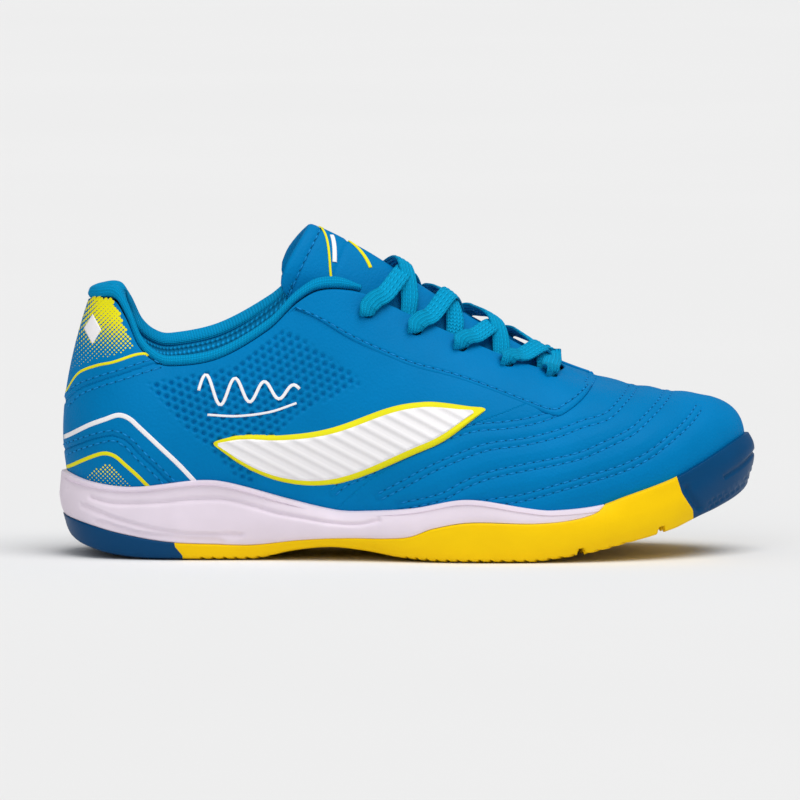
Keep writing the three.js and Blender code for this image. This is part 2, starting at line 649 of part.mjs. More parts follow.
const tongueEnd = -34.5;
const tongueRoot = 58;
const tongueSplit = -12;
const splitGap = 1.3;
const padAt = (x, v) => {
  const sides = Math.min(1, 6 * Math.min(v, 1 - v));
  const ends = Math.min(1, (x - tongueEnd) / 4, (tongueRoot + 2 - x) / 12);
  return lerp(tonguePadding, tongueTopPadding, 1 - smoothstep(x, -26, -8)) * Math.max(0.25, sides * ends);
};
function addTongue(prefix, from, to, rows) {
  const layerSolid = (outer, inner, inset) => {
    const at = (u, v) => [lerp(from + inset, to - inset, u), lerp(inset * 0.02, 1 - inset * 0.02, v)];
    const face = (offset) => (u, v) => {
      const [x, across] = at(u, v);
      return tongue(x, across, -offset(x, across));
    };
    return sheetSolid(rows, 10, face(outer), face(inner));
  };
  const skin = (x, v) => tongueSkin;
  const foamTop = () => tongueSkin + seatGap;
  const foamBottom = (x, v) => tongueSkin + seatGap + padAt(x, v);
  const liningTop = (x, v) => foamBottom(x, v) + seatGap;
  const liningBottom = (x, v) => liningTop(x, v) + tongueSkin;
  add(prefix, layerSolid(() => 0, skin, 0), "leather");
  add(`${prefix}_foam`, layerSolid(foamTop, foamBottom, 0.8), "foam");
  add(`${prefix}_lining`, layerSolid(liningTop, liningBottom, 0), "mesh");
}
addTongue("tongue", tongueSplit + splitGap, tongueRoot, 11);
addTongue("tongue_top", tongueEnd, tongueSplit, 6);

// ---------------------------------------------------------------- lace
const laceUnder = skinThickness + looseGap + liningThickness + seatGap * 2.7 + laceThickness / 2;
const laceOver = facingThickness + facingSeat + seatGap + laceThickness / 2;
const crossingLift = laceThickness + 0.6;
const acrossThroat = (side) => (side < 0 ? 1 : -1); // direction of t towards the toe

function laceStations(firstSide, lifted) {
  const stations = [];
  let face = 1;
  const put = (at, up, width) => stations.push({ at, up: up.clone().multiplyScalar(face).normalize(), width });
  let side = firstSide;
  for (let row = 0; row < eyeletRows.length; row++) {
    const t = eyeletPlace(row, side);
    const toeward = acrossThroat(side);
    const normal = upper(t, eyeletHeight, 1).sub(upper(t, eyeletHeight)).normalize();
    const away = upper(t, eyeletHeight - 0.03).sub(upper(t, eyeletHeight)).normalize();
    const bar = row === 0;
    put(upper(t + toeward * (bar ? 0 : 0.12), 0.995, laceOver + 0.9), normal, laceWidth);
    put(upper(t + toeward * 0.03, 0.945, laceOver + 0.35), normal, laceWidth * 0.8);
    put(upper(t, eyeletHeight + 0.006, laceOver - 0.2), normal.clone().add(away), throatLaceWidth);
    put(upper(t, eyeletHeight, -0.5), away, throatLaceWidth);
    put(upper(t, eyeletHeight + 0.01, -laceUnder), away.clone().sub(normal), throatLaceWidth);
    face = -face;
    if (row === eyeletRows.length - 1) break;
    const edge = t - toeward * 0.17;
    put(upper(edge, 0.985, -laceUnder + 0.2), normal, laceWidth * 0.75);
    const x = openingLine(edge).x / grade.x;
    const place = (v) => (side < 0 ? v : 1 - v);
    const lift = (v) => (lifted ? crossingLift : 0) * (1 - smoothstep(Math.abs(v - 0.5), 0.12, 0.2));
    const over = (xAt, v) => {
      const clear = laceThickness / 2 + seatGap + 0.6 + lift(v);
      const base = tongue(xAt, place(v));
      const out = tongue(xAt, place(v), clear);
      put(out.clone(), out.sub(base), laceWidth);
    };
    over(x - 0.3, 0.37);
    over(x - 0.9, 0.5);
    const next = openingLine(eyeletPlace(row + 1, -side)).x / grade.x;
    over(lerp(x, next, 0.42), 0.63);
    side = -side;
  }
  return stations;
}

const flipped = ({ at, up, width }) => ({ at, up: up.clone().negate(), width });
const laceHalf = laceStations(-1, false);
const otherHalf = laceStations(1, true);
const barX = 49.5;
const barMiddle = {
  at: ridge(barX).add(new THREE.Vector3(0, 0, laceThickness + 1.6)), up: new THREE.Vector3(0.4, 0, 1).normalize(), width: laceWidth,
};
const laceRoute = [...otherHalf.slice().reverse(), barMiddle, ...laceHalf];
const lacePath = new THREE.CatmullRomCurve3(laceRoute.map((s) => s.at), false, "centripetal");
const stepsPerStation = 2;
const laceSections = [];
for (let i = 0; i <= (laceRoute.length - 1) * stepsPerStation; i++) {
  const place = i / stepsPerStation;
  const [a, b] = [Math.floor(place), Math.min(laceRoute.length - 1, Math.floor(place) + 1)];
  const u = place - a;
  const k = place / (laceRoute.length - 1);
  const tangent = lacePath.getTangent(k);
  const up = laceRoute[a].up.clone().lerp(laceRoute[b].up, u);
  up.addScaledVector(tangent, -up.dot(tangent)).normalize();
  const width = lerp(laceRoute[a].width, laceRoute[b].width, u);
  const thick = laceThickness * (width < laceWidth * 0.7 ? 1.25 : 1);
  laceSections.push({
    centre: lacePath.getPoint(k),
    wide: tangent.clone().cross(up).multiplyScalar(-width / 2),
    thick: up.multiplyScalar(thick / 2),
  });
}
add("lace", sweep(laceSections, 6), "lace");

export default shoe;
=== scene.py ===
"""Indoor court shoe, right foot: the finished look, built round the packed frame.

Lengths in the guide lines are millimetres of a shoe 235.7 x 86.8 x 112 mm and are graded to the frame's box.
On the shoe, t runs round the upper (0 heel, 4 outer waist, 8 toe, 12 inner waist) and h runs up it
(0 at the feather line, 1 at the edge of the collar and the throat).
"""
import math

import bmesh
import bpy
import numpy as np
from bpy.props import FloatProperty, FloatVectorProperty, IntProperty, PointerProperty
from mathutils import Matrix, Vector


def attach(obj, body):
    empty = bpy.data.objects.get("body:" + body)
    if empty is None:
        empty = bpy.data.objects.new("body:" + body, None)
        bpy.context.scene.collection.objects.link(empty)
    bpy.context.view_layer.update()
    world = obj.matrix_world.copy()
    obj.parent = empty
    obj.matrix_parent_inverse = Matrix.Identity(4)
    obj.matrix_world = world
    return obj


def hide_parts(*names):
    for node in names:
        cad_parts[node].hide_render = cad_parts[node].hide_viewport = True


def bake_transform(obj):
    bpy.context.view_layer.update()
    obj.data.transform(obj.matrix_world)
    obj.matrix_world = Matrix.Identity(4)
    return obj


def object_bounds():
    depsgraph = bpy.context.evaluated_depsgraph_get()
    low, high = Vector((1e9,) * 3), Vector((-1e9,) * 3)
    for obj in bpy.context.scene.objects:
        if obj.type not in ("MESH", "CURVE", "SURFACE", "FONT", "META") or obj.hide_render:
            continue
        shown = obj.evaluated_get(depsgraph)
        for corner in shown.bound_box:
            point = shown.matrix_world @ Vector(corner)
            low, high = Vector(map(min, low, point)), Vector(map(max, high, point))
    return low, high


bl_info = {
    "name": "Court Shoe",
    "version": (1, 0, 0),
    "blender": (4, 5, 0),
    "location": "View3D > Sidebar > Court Shoe",
    "description": "Builds the leather, laces, linings and rubber of a court shoe round its frame",
    "category": "Object",
}

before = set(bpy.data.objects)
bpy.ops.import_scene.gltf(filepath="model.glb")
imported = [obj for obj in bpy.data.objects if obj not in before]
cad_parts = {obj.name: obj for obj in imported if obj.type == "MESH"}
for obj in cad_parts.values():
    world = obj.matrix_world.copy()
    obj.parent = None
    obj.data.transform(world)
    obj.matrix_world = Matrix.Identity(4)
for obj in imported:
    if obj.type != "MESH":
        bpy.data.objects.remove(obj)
CAD_LOW, CAD_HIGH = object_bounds()
GUIDE_BOX = (235.7, 86.8, 112.0)  # the box that the guide lines are drawn for
GRADE = np.array([(CAD_HIGH[k] - CAD_LOW[k]) / GUIDE_BOX[k] for k in range(3)])
MM = float(GRADE[0])

ROUND = 16.0
TOE = 8.0
BODY = "shoe_body"
LINER = "liner_flap"


# ------------------------------------------------------------------ curves
def curve(rows, period=0.0):
    """Smooth curve through rows of (place, value, ...), as a function of an array of places."""
    table = np.array(rows, float)
    at, values = table[:, 0], table[:, 1:]
    if period:
        places = np.concatenate([at[-1:] - period, at, at[:2] + period])
        ext = np.concatenate([values[-1:], values, values[:2]])
    else:
        places = np.concatenate([at[:1], at, at[-1:]])
        ext = np.concatenate([values[:1], values, values[-1:]])
    last = len(at) - (1 if period else 2)

    def value(place):
        p = np.asarray(place, float)
        p = at[0] + np.mod(p - at[0], period) if period else np.clip(p, at[0], at[-1])
        i = np.clip(np.searchsorted(at, p, side="right") - 1, 0, last)
        pa, pb, pc, pd = (places[i + k] for k in range(4))
        a, b, c, d = (ext[i + k] for k in range(4))
        span = (pc - pb)[..., None]
        u = ((p - pb) / (pc - pb))[..., None]
        slope_b = (c - a) / (pc - pa)[..., None] * span
        slope_c = (d - b) / (pd - pb)[..., None] * span
        rise = c - b
        cubic = slope_b + slope_c - 2 * rise
        square = 3 * rise - 2 * slope_b - slope_c
        return b + u * (slope_b + u * (square + u * cubic))

    return value


def points_curve(rows, period=0.0):
    """A smooth curve of points drawn in millimetres, graded to the frame."""
    at = curve(rows, period)
    return lambda t: at(t) * GRADE


def height_curve(rows):
    """A height over the ground for a place along the shoe."""
    at = curve(rows)
    return lambda x: at(x / GRADE[0])[..., 0] * GRADE[2]


def smooth(x, low, high):
    """Rises smoothly from 0 at low to 1 at high."""
    k = np.clip((np.asarray(x, float) - low) / (high - low), 0, 1)
    return k * k * (3 - 2 * k)


def lerp(a, b, k):
    return a + (b - a) * k


# ------------------------------------------------------------------ the upper's surface
feather_line = points_curve([
    (0, -113, 0, 19), (1, -104, -18.5, 18.5), (2, -80, -25.5, 17.5), (3, -48, -26, 15),
    (4, -14, -30, 12), (5, 20, -37.4, 10.3), (6, 58, -35, 12), (7, 92, -22, 18.5),
    (8, 111.5, 4, 25), (9, 95, 25, 19), (10, 62, 35.5, 12), (11, 30, 37.4, 10.3),
    (12, -10, 28, 12), (13, -46, 23.5, 15), (14, -80, 24.5, 17.5), (15, -104, 18, 18.5),
], ROUND)
lower_guide = points_curve([
    (0, -122, 0, 38), (1, -109, -25, 37), (2, -80, -33, 34), (3, -48, -34, 34),
    (4, -14, -39, 34), (5, 21, -46, 30), (6, 61, -45, 33), (7, 99, -33, 46),
    (8, 122, 6, 66), (9, 102, 36, 46), (10, 65, 45, 33), (11, 31, 46, 30),
    (12, -10, 37, 34), (13, -46, 33, 34), (14, -80, 32, 34), (15, -109, 25, 37),
], ROUND)
upper_guide = points_curve([
    (0, -115.5, 0, 66), (1, -102, -21, 62), (2, -80, -29, 53), (3, -48, -31, 60),
    (4, -17, -29, 68), (5, 10, -29, 64), (6, 38, -27, 58), (7, 64, -19, 54),
    (8, 87, 2, 46), (9, 66, 21, 56), (10, 38, 28, 63), (11, 14, 30, 70),
    (12, -15, 30, 71), (13, -47, 30, 62), (14, -80, 28.5, 55), (15, -102, 21, 63),
], ROUND)
opening_line = points_curve([
    (0, -108.5, 0, 86.5), (0.5, -105.5, -8, 87), (0.85, -99.5, -12.5, 87), (1.1, -95.5, -15.3, 81),
    (1.4, -91.5, -17.8, 72), (1.7, -86.5, -19.7, 67), (2, -80.5, -21, 65.1), (2.5, -64.5, -23, 67.7),
    (3, -47.5, -22.8, 77.5), (3.3, -38.5, -21.5, 86.3), (3.55, -31, -20, 90.8), (3.9, -21, -17.8, 91),
    (4.25, -13, -15.6, 88.7), (4.7, -2, -14.2, 83.3), (5.3, 12, -13.2, 76.7), (6, 27, -12.3, 69.8),
    (6.8, 41, -11, 64), (7.4, 48.5, -7, 62.4), (8, 51.5, 0.5, 63.6), (8.6, 48.5, 8, 65),
    (9.2, 41, 11.5, 68.3), (10, 27, 12.8, 76), (10.7, 12, 13.7, 84), (11.3, -2, 14.7, 89.5),
    (11.75, -13, 16, 93.5), (12.1, -21, 17.8, 95), (12.45, -31, 19.5, 94.5), (12.7, -38.5, 20.8, 90),
    (13, -47.5, 22, 82.5), (13.5, -64.5, 22.2, 73.3), (14, -80.5, 20.5, 70), (14.3, -86.5, 19.3, 71),
    (14.6, -91.5, 17.5, 75), (14.9, -95.5, 15, 82.5), (15.15, -99.5, 12.3, 87.3), (15.5, -105.5, 8, 87.2),
], ROUND)


def skin(t, h):
    """Point of the upper's outer surface."""
    t, h = np.broadcast_arrays(np.asarray(t, float), np.asarray(h, float))
    k, w = (1 - h)[..., None], h[..., None]
    return (feather_line(t) * k ** 3 + lower_guide(t) * 3 * k * k * w
            + upper_guide(t) * 3 * k * w * w + opening_line(t) * w ** 3)


def unit(v):
    return v / np.maximum(np.linalg.norm(v, axis=-1, keepdims=True), 1e-12)


def normal_of(point, u, v, du, dv):
    along_u = point(u + du, v) - point(u - du, v)
    along_v = point(u, v + dv) - point(u, v - dv)
    return unit(np.cross(along_u, along_v))


def skin_normal(t, h):
    return normal_of(skin, np.asarray(t, float), np.asarray(h, float), 0.03, 0.015)


def upper(t, h, out=0.0):
    """Point that many millimetres outside the upper's surface."""
    return skin(t, h) + skin_normal(t, h) * (np.asarray(out, float) * MM)[..., None]


def side_finder(side):
    """Finds (t, h) of points drawn on the side of the shoe as (x, z) in millimetres."""
    span = np.linspace(0.02, TOE - 0.02, 420) if side < 0 else np.linspace(TOE + 0.02, ROUND - 0.02, 420)
    tt, hh = np.meshgrid(span, np.linspace(0, 1, 120), indexing="ij")
    grid = skin(tt, hh).reshape(-1, 3)[:, [0, 2]]
    flat_t, flat_h = tt.ravel(), hh.ravel()

    def find(x, z):
        goal = np.stack([np.asarray(x, float) * GRADE[0], np.asarray(z, float) * GRADE[2]], -1)
        near = np.array([np.argmin(((grid - g) ** 2).sum(1)) for g in goal])
        t, h = flat_t[near].copy(), flat_h[near].copy()
        for _ in range(6):
            p = skin(t, h)[:, [0, 2]]
            jt = (skin(t + 0.01, h)[:, [0, 2]] - p) / 0.01
            jh = (skin(t, h + 0.005)[:, [0, 2]] - p) / 0.005
            det = jt[:, 0] * jh[:, 1] - jt[:, 1] * jh[:, 0]
            det = np.where(np.abs(det) < 1e-7, 1e-7, det)
            e = goal - p
            dt = (e[:, 0] * jh[:, 1] - e[:, 1] * jh[:, 0]) / det
            dh = (jt[:, 0] * e[:, 1] - jt[:, 1] * e[:, 0]) / det
            t = np.clip(t + np.clip(dt, -0.1, 0.1), span[0], span[-1])
            h = np.clip(h + np.clip(dh, -0.05, 0.05), 0, 1)
        return t, h

    return find


FIND = {-1: side_finder(-1), 1: side_finder(1)}


def drawn(points, step):
    """Smooth line through (x, z) points, with a point every step millimetres."""
    p = np.array(points, float)
    run = np.concatenate([[0], np.cumsum(np.linalg.norm(np.diff(p, axis=0), axis=1))])
    line = curve(np.column_stack([run, p]))
    fine = line(np.linspace(0, run[-1], 400))
    length = np.concatenate([[0], np.cumsum(np.linalg.norm(np.diff(fine, axis=0), axis=1))])
    count = max(3, int(length[-1] / step) + 1)
    at = np.linspace(0, length[-1], count)
    return np.stack([np.interp(at, length, fine[:, k]) for k in range(2)], -1)


def beside(line, shift):
    """The line moved sideways in the drawing."""
    along = unit(np.gradient(line, axis=0))
    return line + np.stack([-along[:, 1], along[:, 0]], -1) * shift


def distance_to(points, line):
    """Distance of (x, z) points from a drawn line, and which side of it they lie on."""
    best = np.full(len(points), 1e9)
    hand = np.zeros(len(points))
    for a, b in zip(line[:-1], line[1:]):
        ab = b - a
        k = np.clip(((points - a) @ ab) / (ab @ ab), 0, 1)
        gap = points - a - k[:, None] * ab
        d = np.sqrt((gap ** 2).sum(1))
        near = d < best
        best = np.where(near, d, best)
        hand = np.where(near, np.sign(ab[0] * gap[:, 1] - ab[1] * gap[:, 0]), hand)
    return best, hand


def inside(points, outline):
    """Which (x, z) points lie inside a closed outline."""
    x, z = points[:, 0], points[:, 1]
    found = np.zeros(len(points), bool)
    for (ax, az), (bx, bz) in zip(outline, np.roll(outline, -1, axis=0)):
        crosses = (az > z) != (bz > z)
        where = ax + (z - az) / (bz - az if bz != az else 1e-9) * (bx - ax)
        found ^= crosses & (x < where)
    return found


# ------------------------------------------------------------------ layers of the frame, in millimetres
SEAT_GAP = 0.3  # between pieces that are glued or sewn face to face
LOOSE_GAP = 0.7  # between the skin and what hangs behind it
SKIN = 1.2
FACING = 0.8
FACING_SEAT = 0.42
LINING = 0.6
STIFFENER = 1.0
LACE = 1.3
COLLAR_PADDING = 4.2
BINDING_RADIUS = 2.1
BINDING_HEEL_GROWTH = 0.3
TONGUE_PADDING = 2.2  # in the throat
TONGUE_TOP_PADDING = 3.4  # at the free end


# ------------------------------------------------------------------ guide lines drawn on the side
HEEL_TAB_SEAM = [(-117, 51), (-112, 56), (-104.5, 59.5), (-97, 62), (-89.5, 64.5), (-82, 66.5)]
HEEL_BASE_SEAM = [(-117, 35), (-112.5, 37.5), (-105, 40.5), (-99.5, 41.5), (-95, 39.5), (-90.5, 35),
                  (-85, 30), (-78, 23)]
WHITE_LINE = [(-117, 39.5), (-108.5, 44.5), (-102.5, 47), (-98, 48.5), (-94.5, 47.5), (-91, 44.5),
              (-85, 39), (-77.5, 32), (-71, 25)]
LOW_YELLOW_LINE = [(-116.5, 29), (-110.5, 32.5), (-105, 35), (-102, 35.5), (-99, 34.5), (-96, 32),
                   (-92, 28.5), (-87.5, 24)]
HIGH_YELLOW_LINE = [(-116.5, 54.5), (-112, 61.5), (-106, 64.5), (-100, 66), (-92.5, 68.5), (-88, 69)]
QUILT_ROWS = [
    [(-26, 22.5), (-22, 26), (-14.5, 29.5), (-8.5, 33), (10.5, 41.5), (21.5, 45), (32.5, 46), (42, 47.5),
     (49.5, 50), (55.5, 53.5), (60.5, 58), (63.5, 61)],
    [(-10.5, 21.5), (-5, 24.5), (7.5, 31.5), (19, 36.5), (27, 39), (38.5, 40.5), (49.5, 43), (58, 46),
     (66.5, 48.5), (72, 53), (76.5, 57)],
    [(-3, 18.5), (10.5, 22), (19, 26.5), (27, 29.5), (38.5, 32), (49.5, 34), (58, 36), (66.5, 39.5),
     (75, 43.5), (80.5, 48), (85, 52), (89, 56)],
    [(10.5, 17.5), (29, 20.5), (38.5, 22), (49.5, 25), (60.5, 28), (72, 31.5), (80.5, 35.5), (89, 41.5),
     (94.5, 46), (98, 50)],
]
DIMPLE_FIELD = [(-90.5, 59.5), (-79.5, 62), (-60, 66), (-42, 79), (-34.5, 74.5), (-17, 62.5),
                (-15.5, 58.5), (-27.5, 53), (-37.5, 48), (-52, 34), (-50, 23), (-59, 27), (-68, 37),
                (-76, 43.5), (-82.5, 50.5)]
VAMP_SEAM = [(-28, 14), (-14, 27), (10, 42), (32, 50), (50, 57)]


# ------------------------------------------------------------------ user settings
def colour(name, description, default):
    return FloatVectorProperty(name=name, description=description, subtype="COLOR", size=3,
                               default=default, min=0, max=1)


def length(name, description, millimetres):
    return FloatProperty(name=name, description=description, unit="LENGTH", subtype="DISTANCE",
                         default=millimetres * 0.001, min=0, precision=5)


class ShoeColours(bpy.types.PropertyGroup):
    leather: colour("Leather", "Quarters, heel and tongue", (0.0, 0.192, 0.475))
    lace: colour("Laces", "Flat braided laces", (0.001, 0.38, 0.70))
    binding: colour("Collar edge", "Rolled edge of the collar", (0.001, 0.31, 0.63))
    lining: colour("Collar lining", "Knitted mesh inside the collar", (0.004, 0.30, 0.66))
    backing: colour("Throat lining", "Woven backing of the throat", (0.30, 0.28, 0.25))
    midsole: colour("Midsole", "Moulded foam of the sole's side", (0.82, 0.725, 0.82))
    tread: colour("Outsole", "Rubber of the tread", (0.99, 0.625, 0.0))
    rubber: colour("Toe and heel rubber", "Rubber of the toe cap and the heel", (0.0, 0.056, 0.165))
    film: colour("Emblem", "Ribbed film of the side emblem", (0.93, 0.91, 0.925))
    trim: colour("Trim", "Printed lines and the emblem's border", (0.86, 0.80, 0.01))


class ShoeSizes(bpy.types.PropertyGroup):
    stitch: length("Stitch length", "Length of one stitch", 2.3)
    stitch_pitch: length("Stitch pitch", "From one stitch to the next", 3.2)
    thread: length("Thread", "Thickness of the sewing thread", 0.55)
    dimple_pitch: length("Dimple pitch", "From one dimple of the side to the next", 2.9)
    dimple_depth: length("Dimple depth", "Depth of a dimple", 1.15)
    lace_width: length("Lace width", "Width of the flat lace", 6.4)
    lace_thickness: length("Lace thickness", "Thickness of the flat lace", 1.4)
    fineness: IntProperty(name="Fineness", description="Steps per centimetre of the upper's surface",
                          default=20, min=4, max=40)


def colours():
    return bpy.context.scene.shoe_colours


def sizes():
    return bpy.context.scene.shoe_sizes


# ------------------------------------------------------------------ materials
class Finish:
    """A procedural material with its nodes at hand."""

    def __init__(self, name, base, roughness, specular=0.5):
        self.material = bpy.data.materials.new(name)
        self.material.use_nodes = True
        self.tree = self.material.node_tree
        self.shader = self.tree.nodes["Principled BSDF"]
        self.base = (*base, 1.0)
        self.shader.inputs["Base Color"].default_value = self.base
        self.shader.inputs["Roughness"].default_value = roughness
        self.shader.inputs["Specular IOR Level"].default_value = specular
        self.height = None

    def node(self, kind, inputs=(), **settings):
        node = self.tree.nodes.new("ShaderNode" + kind)
        for key, value in settings.items():
            setattr(node, key, value)
        for key, value in dict(inputs).items():
            if isinstance(value, bpy.types.NodeSocket):
                self.tree.links.new(value, node.inputs[key])
            else:
                node.inputs[key].default_value = value
        return node

    def place(self, source="Object", scale=(1, 1, 1), turn=0.0):
        where = self.node("TexCoord").outputs[source]
        return self.node("Mapping", {"Vector": where, "Scale": scale, "Rotation": (0, 0, turn)}).outputs[0]

    def math(self, operation, a, b=0.0):
        return self.node("Math", {0: a, 1: b}, operation=operation).outputs[0]

    def noise(self, scale, detail=3.0, source="Object"):
        inputs = {"Vector": self.place(source), "Scale": scale, "Detail": detail}
        return self.node("TexNoise", inputs).outputs[0]

    def voronoi(self, scale, source="Object", feature="F1"):
        inputs = {"Vector": self.place(source), "Scale": scale}
        return self.node("TexVoronoi", inputs, feature=feature).outputs[0]

    def shift_colour(self, driver, dark, light, low=0.3, high=0.7):
        ramp = self.node("ValToRGB", {"Fac": driver})
        for element, place, gain in zip(ramp.color_ramp.elements, (low, high), (dark, light)):
            element.position = place
            element.color = (*(min(1.0, c * gain) for c in self.base[:3]), 1.0)
        self.tree.links.new(ramp.outputs[0], self.shader.inputs["Base Color"])

    def shift_roughness(self, driver, low, high):
        spread = self.node("MapRange", {"Value": driver, "To Min": low, "To Max": high})
        self.tree.links.new(spread.outputs[0], self.shader.inputs["Roughness"])

    def bump(self, driver, millimetres, strength=1.0):
        inputs = {"Height": driver, "Distance": millimetres * 0.001, "Strength": strength}
        if self.height:
            inputs["Normal"] = self.height
        self.height = self.node("Bump", inputs).outputs[0]
        self.tree.links.new(self.height, self.shader.inputs["Normal"])


def leather(name, base, roughness=0.5):
    """Smooth synthetic leather: fine pebbled grain, a little paler where it catches wear."""
    f = Finish(name, base, roughness, 0.035)
    grain = f.voronoi(1100)
    f.bump(grain, 0.09, 0.8)
    f.bump(f.noise(300, 6), 0.16, 0.7)
    f.shift_colour(f.noise(35, 5), 0.94, 1.07)
    f.shift_roughness(f.noise(260, 4), roughness - 0.06, roughness + 0.1)
    return f.material


def knit(name, base, across=420.0, along=420.0, depth=0.35, dark=0.62, light=1.25):
    """Knitted spacer mesh: rows of small sunk cells, on the piece's own UV map in metres."""
    f = Finish(name, base, 0.9, 0.05)
    split = f.node("SeparateXYZ", {"Vector": f.place("UV", (across, along, 1), math.radians(45))})
    waves = [f.math("SINE", f.math("MULTIPLY", split.outputs[k], 2 * math.pi)) for k in range(2)]
    cells = f.math("MULTIPLY", *waves)
    f.bump(cells, depth, 0.9)
    # painted shade and light: the colour follows the cell bump, darker in the sunk cells and paler on the
    # raised knit
    f.shift_colour(cells, dark, light, 0.05, 0.75)
    return f.material


def braid(name, base):
    """Braided cord: slanting plaits crossing both ways, on the lace's own UV map in metres."""
    f = Finish(name, base, 0.8, 0.06)
    split = f.node("SeparateXYZ", {"Vector": f.place("UV")})
    ribs = f.math("SINE", f.math("MULTIPLY", split.outputs[0], 2 * math.pi * 900))
    lean = f.math("ADD", f.math("MULTIPLY", split.outputs[1], 2 * math.pi * 1150),
                  f.math("MULTIPLY", ribs, 1.4))
    plaits = f.math("SINE", lean)
    height = f.math("ADD", f.math("MULTIPLY", ribs, 0.6), f.math("MULTIPLY", plaits, 0.4))
    f.bump(height, 0.22, 1.0)
    # painted shade and light: the colour follows the braid's height, darker in its grooves and paler on its
    # ridges
    f.shift_colour(height, 0.8, 1.08, 0.1, 0.9)
    return f.material


def woven(name, base):
    """Plain woven backing cloth."""
    f = Finish(name, base, 0.95, 0.15)
    weave = f.math("MULTIPLY", f.noise(1400, 2), f.voronoi(2200))
    f.bump(weave, 0.1, 0.8)
    f.shift_colour(f.noise(800, 3), 0.8, 1.15)
    return f.material


def moulded(name, base, roughness, grain=700.0, depth=0.03):
    """Moulded foam or rubber: faint orange-peel skin with slight mottling."""
    f = Finish(name, base, roughness, 0.12)
    f.bump(f.noise(grain, 4), depth, 0.6)
    f.shift_colour(f.noise(60, 4), 0.96, 1.04)
    f.shift_roughness(f.noise(180, 3), roughness - 0.05, roughness + 0.08)
    return f.material


def ribbed_film(name, base):
    """Film with fine slanting ribs."""
    f = Finish(name, base, 0.45, 0.4)
    split = f.node("SeparateXYZ", {"Vector": f.place("Object", (1, 1, 1))})
    slant = f.math("ADD", f.math("MULTIPLY", split.outputs[0], 330.0),
                   f.math("MULTIPLY", split.outputs[2], 640.0))
    ribs = f.math("SINE", f.math("MULTIPLY", slant, 2.4))
    f.bump(ribs, 0.22, 0.8)
    # painted shade: the colour follows the ribs, darker in their grooves
    f.shift_colour(ribs, 0.93, 1.02, 0.1, 0.8)
    return f.material


def thread(name, base):
    """Twisted sewing thread."""
    f = Finish(name, base, 0.6, 0.1)
    f.bump(f.noise(3000, 2), 0.04, 0.7)
    f.shift_colour(f.noise(900, 2), 0.85, 1.15)
    return f.material


MATERIALS = {}


def finish(name):
    """Each finish is made once, from the colours in the panel."""
    if name not in MATERIALS:
        c = colours()
        # painted highlight: the thread is the leather's colour made paler, standing in for light catching the
        # raised stitches
        thread_painted_highlight = tuple(min(1.0, v * 1.25 + 0.006) for v in c.leather)
        made = {
            "leather": lambda: leather("leather", c.leather),
            "thread": lambda: thread("thread", thread_painted_highlight),
            "lace": lambda: braid("lace", c.lace),
            "binding": lambda: knit("binding", c.binding, 900, 900, 0.12, 0.82, 1.08),
            "lining": lambda: knit("lining", c.lining),
            "backing": lambda: woven("backing", c.backing),
            "board": lambda: woven("board", (0.72, 0.70, 0.62)),
            "foam": lambda: moulded("foam", (0.62, 0.58, 0.44), 0.9, 900, 0.1),
            "midsole": lambda: moulded("midsole", c.midsole, 0.62, 900, 0.02),
            "tread": lambda: moulded("tread", c.tread, 0.5),
            "rubber": lambda: moulded("rubber", c.rubber, 0.4),
            "film": lambda: ribbed_film("film", c.film),
            "white": lambda: moulded("white_print", c.film, 0.5, 1200, 0.01),
            "trim": lambda: moulded("trim_print", c.trim, 0.5, 1200, 0.01),
            # needle holes: dark spots at 0.42 of the leather's colour, painted shade inside the holes
            "hole": lambda: moulded("stitch_hole_shade", tuple(v * 0.42 for v in c.leather), 0.8),
        }
        MATERIALS[name] = made[name]()
    return MATERIALS[name]


# ------------------------------------------------------------------ mesh helpers
def keep(mesh_name, bm, material, body=BODY):
    """Turns a finished bmesh into a piece that rides on a body."""
    mesh = bpy.data.meshes.new(mesh_name)
    bm.to_mesh(mesh)
    bm.free()
    mesh.polygons.foreach_set("use_smooth", [True] * len(mesh.polygons))
    piece = bpy.data.objects.new(mesh_name, mesh)
    bpy.context.scene.collection.objects.link(piece)
    mesh.materials.append(finish(material))
    if body:
        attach(piece, body)
    return piece


def sheet(across, along, place, uv_size=(1.0, 1.0)):
    """Grid whose corners run over the unit square, laid on place(u, v); its UV map is in metres."""
    bm = bmesh.new()
    bmesh.ops.create_grid(bm, x_segments=across, y_segments=along, size=0.5)
    uv = np.array([v.co[:2] for v in bm.verts]) + 0.5
    points = place(uv[:, 0], uv[:, 1])
    layer = bm.loops.layers.uv.new("UVMap")
    for v, p, at in zip(bm.verts, points, uv):
        v.co = p
        for loop in v.link_loops:
            loop[layer].uv = (at[0] * uv_size[0], at[1] * uv_size[1])
    return bm


def thicken(piece, millimetres, offset=-1.0):
    """Gives a sheet its wall, inwards unless the offset says otherwise."""
    wall = piece.modifiers.new("wall", "SOLIDIFY")
    wall.thickness = millimetres * MM
    wall.offset = offset
    return piece


def weld(bm, gap=1e-5):
    bmesh.ops.remove_doubles(bm, verts=bm.verts, dist=gap)
    return bm


# ------------------------------------------------------------------ relief of the upper
EYELET_HEIGHT = 0.9
EYELETS = {-1: (6.85, 6.1, 5.42, 4.8, 4.15), 1: (9.15, 9.93, 10.6, 11.2, 11.87)}
EYELET_RADIUS = 2.2


def groove(gap, width, depth):
    return -depth * np.exp(-(gap / width) ** 2)


